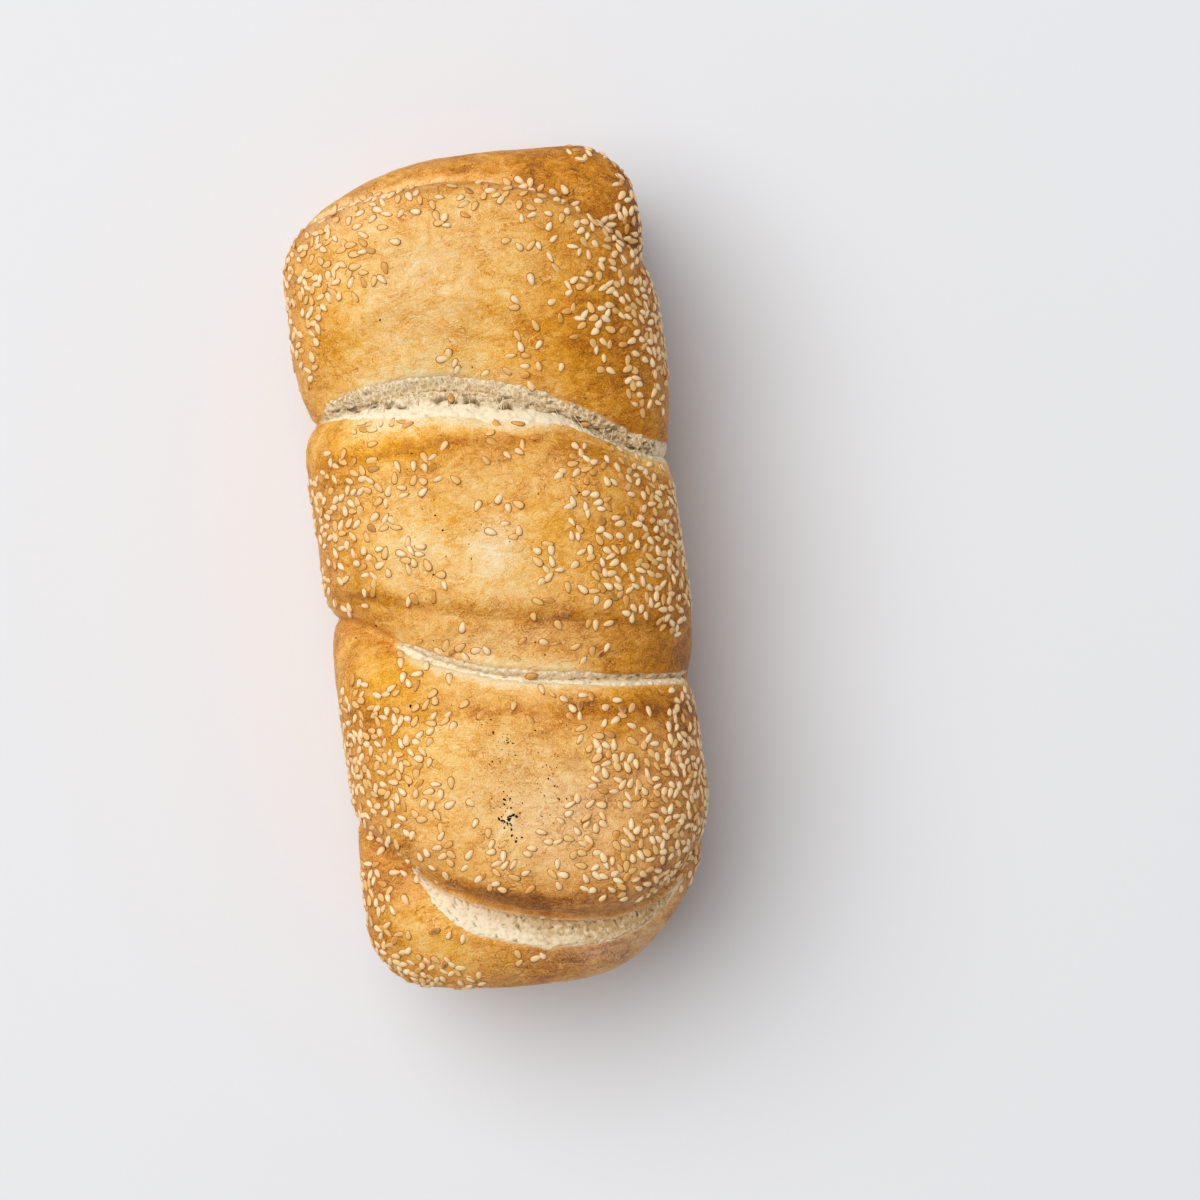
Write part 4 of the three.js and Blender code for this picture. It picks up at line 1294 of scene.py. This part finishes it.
def crumb_material(loaf):
    """Torn white bread crumb: matte and soft, cream white on the tufts, with painted shade in the pores and
    the damp hollows.
    """
    material, tree = new_material("torn_white_crumb")
    colours = loaf.crumb
    shaded_pit, damp_and_shade, netted = (add_node(tree, "ShaderNodeAttribute", attribute_name=name).outputs["Fac"]
                         for name in ("shaded_pit", "damp_and_shade", "netted"))
    place = add_node(tree, "ShaderNodeTexCoord").outputs["Object"]
    drawn = add_node(tree, "ShaderNodeMapping", {"Vector": place, "Scale": (1.0, 0.55, 0.7)}).outputs[0]

    # Fluffy tufts, dry, and damp with painted shade.
    fluff = add_node(tree, "ShaderNodeTexNoise", {
        "Vector": place, "Scale": 1 / (1.3 * MM), "Detail": 3.0, "Roughness": 0.55}).outputs["Fac"]
    dry, moist_and_shaded = (add_node(tree, "ShaderNodeValToRGB", {"Fac": fluff}) for _ in range(2))
    set_ramp(dry, ((0.22, colours.grey), (0.5, colours.white)))
    set_ramp(moist_and_shaded, ((0.34, colours.damp_and_shade), (0.55, colours.grey), (0.76, colours.white)))

    # A web of white threads drawn over the damp and shaded crumb, with meshes of 1.5 mm bent by 1.6 mm.
    bent = add_node(tree, "ShaderNodeTexNoise", {"Vector": place, "Scale": 1 / (1.6 * MM), "Detail": 2.0})
    bent = add_node(tree, "ShaderNodeVectorMath", {
        0: bent.outputs["Color"], 1: (1.6 * MM, 1.6 * MM, 1.6 * MM), 2: drawn}, operation="MULTIPLY_ADD")
    web = add_node(tree, "ShaderNodeTexVoronoi", {"Vector": bent.outputs[0], "Scale": 1 / (1.5 * MM)},
                   feature="DISTANCE_TO_EDGE")
    thread = add_node(tree, "ShaderNodeMapRange", {
        "Value": web.outputs["Distance"], "From Min": 0.02, "From Max": 0.12, "To Min": 0.85, "To Max": 0.0})
    thread = add_node(tree, "ShaderNodeMath", {0: thread.outputs[0], 1: netted}, operation="MULTIPLY")

    # Pores, darkened with painted shade: those of the mesh, and finer ones where it is damp and shaded.
    sponge = add_node(tree, "ShaderNodeTexNoise", {
        "Vector": drawn, "Scale": 1 / (0.8 * MM), "Detail": 2.0, "Roughness": 0.6, "Distortion": 0.8})
    shaded_pores = add_node(tree, "ShaderNodeMapRange", {
        "Value": sponge.outputs["Fac"], "From Min": 0.56, "From Max": 0.68})
    shaded_pores = add_node(tree, "ShaderNodeMath", {0: shaded_pores.outputs[0], 1: damp_and_shade}, operation="MULTIPLY")
    shaded_pores = add_node(tree, "ShaderNodeMath", {0: shaded_pores.outputs[0], 1: 0.55, 2: shaded_pit}, operation="MULTIPLY_ADD",
                     use_clamp=True)

    threaded_damp_and_shade = add_node(tree, "ShaderNodeMix", {
        "Factor": thread.outputs[0], "A": moist_and_shaded.outputs[0], "B": (*colours.white, 1.0)}, data_type="RGBA")
    crumb = add_node(tree, "ShaderNodeMix", {
        "Factor": damp_and_shade, "A": dry.outputs[0], "B": threaded_damp_and_shade.outputs["Result"]}, data_type="RGBA")
    pore_shaded_crumb = add_node(tree, "ShaderNodeMix", {
        "Factor": shaded_pores.outputs[0], "A": crumb.outputs["Result"], "B": (*colours.pore_shade, 1.0)},
        data_type="RGBA")
    bump = add_node(tree, "ShaderNodeBump", {"Height": fluff, "Strength": 0.4, "Distance": 0.5 * MM})
    shader = add_node(tree, "ShaderNodeBsdfPrincipled", {
        "Base Color": pore_shaded_crumb.outputs["Result"], "Roughness": 0.8, "IOR": 1.4, "Specular IOR Level": 0.2,
        "Subsurface Weight": 0.15, "Subsurface Radius": (1.0, 0.8, 0.6), "Subsurface Scale": 1.0 * MM,
        "Normal": bump.outputs[0]})
    add_node(tree, "ShaderNodeOutputMaterial", {"Surface": shader.outputs[0]})
    return material


def seed_material(loaf, kind):
    """Sesame hull: smooth and slightly waxy, with a brown rim where the crust holds it: browned crust and
    partly painted contact shadow.
    """
    material, tree = new_material("sesame_hull_" + kind.split("_")[1])
    rim, tone = (add_node(tree, "ShaderNodeAttribute", attribute_name=name).outputs["Fac"]
                 for name in ("rim", "tone"))
    hull = getattr(loaf.seeds, SEED_KINDS[kind]["hull"])
    golden = tuple(between(np.array(hull), np.array(loaf.crust.golden), 0.6))
    # Each seed is golden by its own share, and more so towards its rim, which is brown along its edge:
    # browned crust and partly painted contact shadow.
    border, edge = (add_node(tree, "ShaderNodeMapRange", {"Value": rim, "From Min": low, "From Max": high})
                    for low, high in ((0.35, 0.93), (0.9, 1.04)))
    colour = (*hull, 1.0)
    for share, over in ((tone, golden), (border.outputs[0], golden), (edge.outputs[0], loaf.seeds.rim)):
        colour = add_node(tree, "ShaderNodeMix", {"Factor": share, "A": colour, "B": (*over, 1.0)},
                          data_type="RGBA").outputs["Result"]
    shader = add_node(tree, "ShaderNodeBsdfPrincipled", {
        "Base Color": colour, "Roughness": 0.42, "IOR": 1.47, "Specular IOR Level": 0.45})
    add_node(tree, "ShaderNodeOutputMaterial", {"Surface": shader.outputs[0]})
    return material


def dry_material(name, colour):
    """One plain colour with a dry surface: rough, with no gloss at all."""
    material, tree = new_material(name)
    shader = add_node(tree, "ShaderNodeBsdfPrincipled", {
        "Base Color": (*colour, 1.0), "Roughness": 0.9, "Specular IOR Level": 0.0})
    add_node(tree, "ShaderNodeOutputMaterial", {"Surface": shader.outputs[0]})
    return material


def speck_material(loaf):
    """Scorched flour and sugar: nearly black, dry and matte."""
    return dry_material("scorched_crust", loaf.seeds.speck)


def floor_material(loaf):
    """Matt painted studio board: plain pale grey with no gloss."""
    return dry_material("painted_board", loaf.stage.floor)


class LOAF_OT_crust(bpy.types.Operator):
    """Make the baked crust in place of the plain solid"""

    bl_idname = "loaf.crust"
    bl_label = "Crust"

    def execute(self, context):
        loaf = context.scene.loaf
        crust = new_piece("crust", crust_mesh(loaf), crust_material(loaf))
        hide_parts(SOLID)
        return {"FINISHED"}


class LOAF_OT_crumb(bpy.types.Operator):
    """Make the torn crumb in the splits"""

    bl_idname = "loaf.crumb"
    bl_label = "Crumb"

    def execute(self, context):
        loaf = context.scene.loaf
        material = crumb_material(loaf)
        for index, zone in enumerate(CRUMBS):
            if "piece" in zone:
                new_piece(zone["piece"], crumb_mesh(loaf, index), material)
        new_piece("crumb_strands", strands_mesh(loaf), material)
        return {"FINISHED"}


class LOAF_OT_seeds(bpy.types.Operator):
    """Scatter the seeds, one piece for each kind"""

    bl_idname = "loaf.seeds"
    bl_label = "Seeds"

    def execute(self, context):
        loaf = context.scene.loaf
        places = seed_places(loaf)
        for kind in SEED_KINDS:
            new_piece(kind, seeds_mesh(loaf, places, kind), seed_material(loaf, kind))
        return {"FINISHED"}


class LOAF_OT_specks(bpy.types.Operator):
    """Make the scorched specks in the crust"""

    bl_idname = "loaf.specks"
    bl_label = "Specks"

    def execute(self, context):
        loaf = context.scene.loaf
        new_piece("scorched_specks", specks_mesh(loaf), speck_material(loaf))
        return {"FINISHED"}


class LOAF_OT_stage(bpy.types.Operator):
    """Set up the floor, the lights and the camera"""

    bl_idname = "loaf.stage"
    bl_label = "Stage"

    def execute(self, context):
        loaf, scene = context.scene.loaf, context.scene
        bm = bmesh.new()
        bmesh.ops.create_grid(bm, x_segments=1, y_segments=1, size=FLOOR_REACH)
        bmesh.ops.translate(bm, verts=bm.verts, vec=(0, 0, -FLOOR_DROP))
        data = bpy.data.meshes.new("floor")
        bm.to_mesh(data)
        bm.free()
        data.materials.append(floor_material(loaf))
        floor = bpy.data.objects.new("floor", data)
        scene.collection.objects.link(floor)

        lamp = bpy.data.lights.new("key", "AREA")
        lamp.shape = "DISK"
        lamp.size = KEY_SIZE
        lamp.energy = loaf.stage.key_power
        key = bpy.data.objects.new("key", lamp)
        key.location = KEY_PLACE
        key.rotation_euler = (-Vector(key.location)).to_track_quat("-Z", "Y").to_euler()
        scene.collection.objects.link(key)

        world = bpy.data.worlds.new("studio")
        world.use_nodes = True
        world.node_tree.nodes["Background"].inputs["Color"].default_value = (1.0, 1.0, 1.0, 1.0)
        world.node_tree.nodes["Background"].inputs["Strength"].default_value = loaf.stage.fill
        scene.world = world
        scene.view_settings.view_transform = "Standard"

        lens = bpy.data.cameras.new("camera")
        lens.sensor_width = FILM
        lens.lens = LENS
        camera = bpy.data.objects.new("camera", lens)
        camera.location = (*CAMERA_PLACE, loaf.stage.camera_height)
        camera.rotation_euler = (0.0, 0.0, loaf.stage.camera_turn)
        scene.collection.objects.link(camera)
        scene.camera = camera
        return {"FINISHED"}


class Loaf(bpy.types.PropertyGroup):
    """Everything that can be set on the loaf"""

    form: PointerProperty(type=LoafForm)
    crust: PointerProperty(type=LoafCrust)
    crumb: PointerProperty(type=LoafCrumb)
    seeds: PointerProperty(type=LoafSeeds)
    stage: PointerProperty(type=LoafStage)


OPERATORS = (LOAF_OT_crust, LOAF_OT_crumb, LOAF_OT_seeds, LOAF_OT_specks, LOAF_OT_stage)


class LOAF_PT_panel(bpy.types.Panel):
    """Lists the pieces of the loaf and their sizes and colours"""

    bl_label = "Loaf"
    bl_idname = "LOAF_PT_panel"
    bl_space_type = "VIEW_3D"
    bl_region_type = "UI"
    bl_category = "Loaf"

    def draw(self, context):
        for operator in OPERATORS:
            self.layout.operator(operator.bl_idname)
        for group in ("form", "crust", "crumb", "seeds", "stage"):
            settings = getattr(context.scene.loaf, group)
            for name in settings.__annotations__:
                self.layout.prop(settings, name)


CLASSES = (LoafForm, LoafCrust, LoafCrumb, LoafSeeds, LoafStage, Loaf, *OPERATORS, LOAF_PT_panel)


def register():
    """Registers the classes and gives the scene its loaf."""
    for cls in CLASSES:
        bpy.utils.register_class(cls)
    bpy.types.Scene.loaf = PointerProperty(type=Loaf)


def unregister():
    """Undoes register()."""
    del bpy.types.Scene.loaf
    for cls in reversed(CLASSES):
        bpy.utils.unregister_class(cls)


def main():
    """Makes the loaf and its studio."""
    register()
    for operator in OPERATORS:
        category, name = operator.bl_idname.split(".")
        getattr(getattr(bpy.ops, category), name)()


if __name__ == "__main__":
    main()
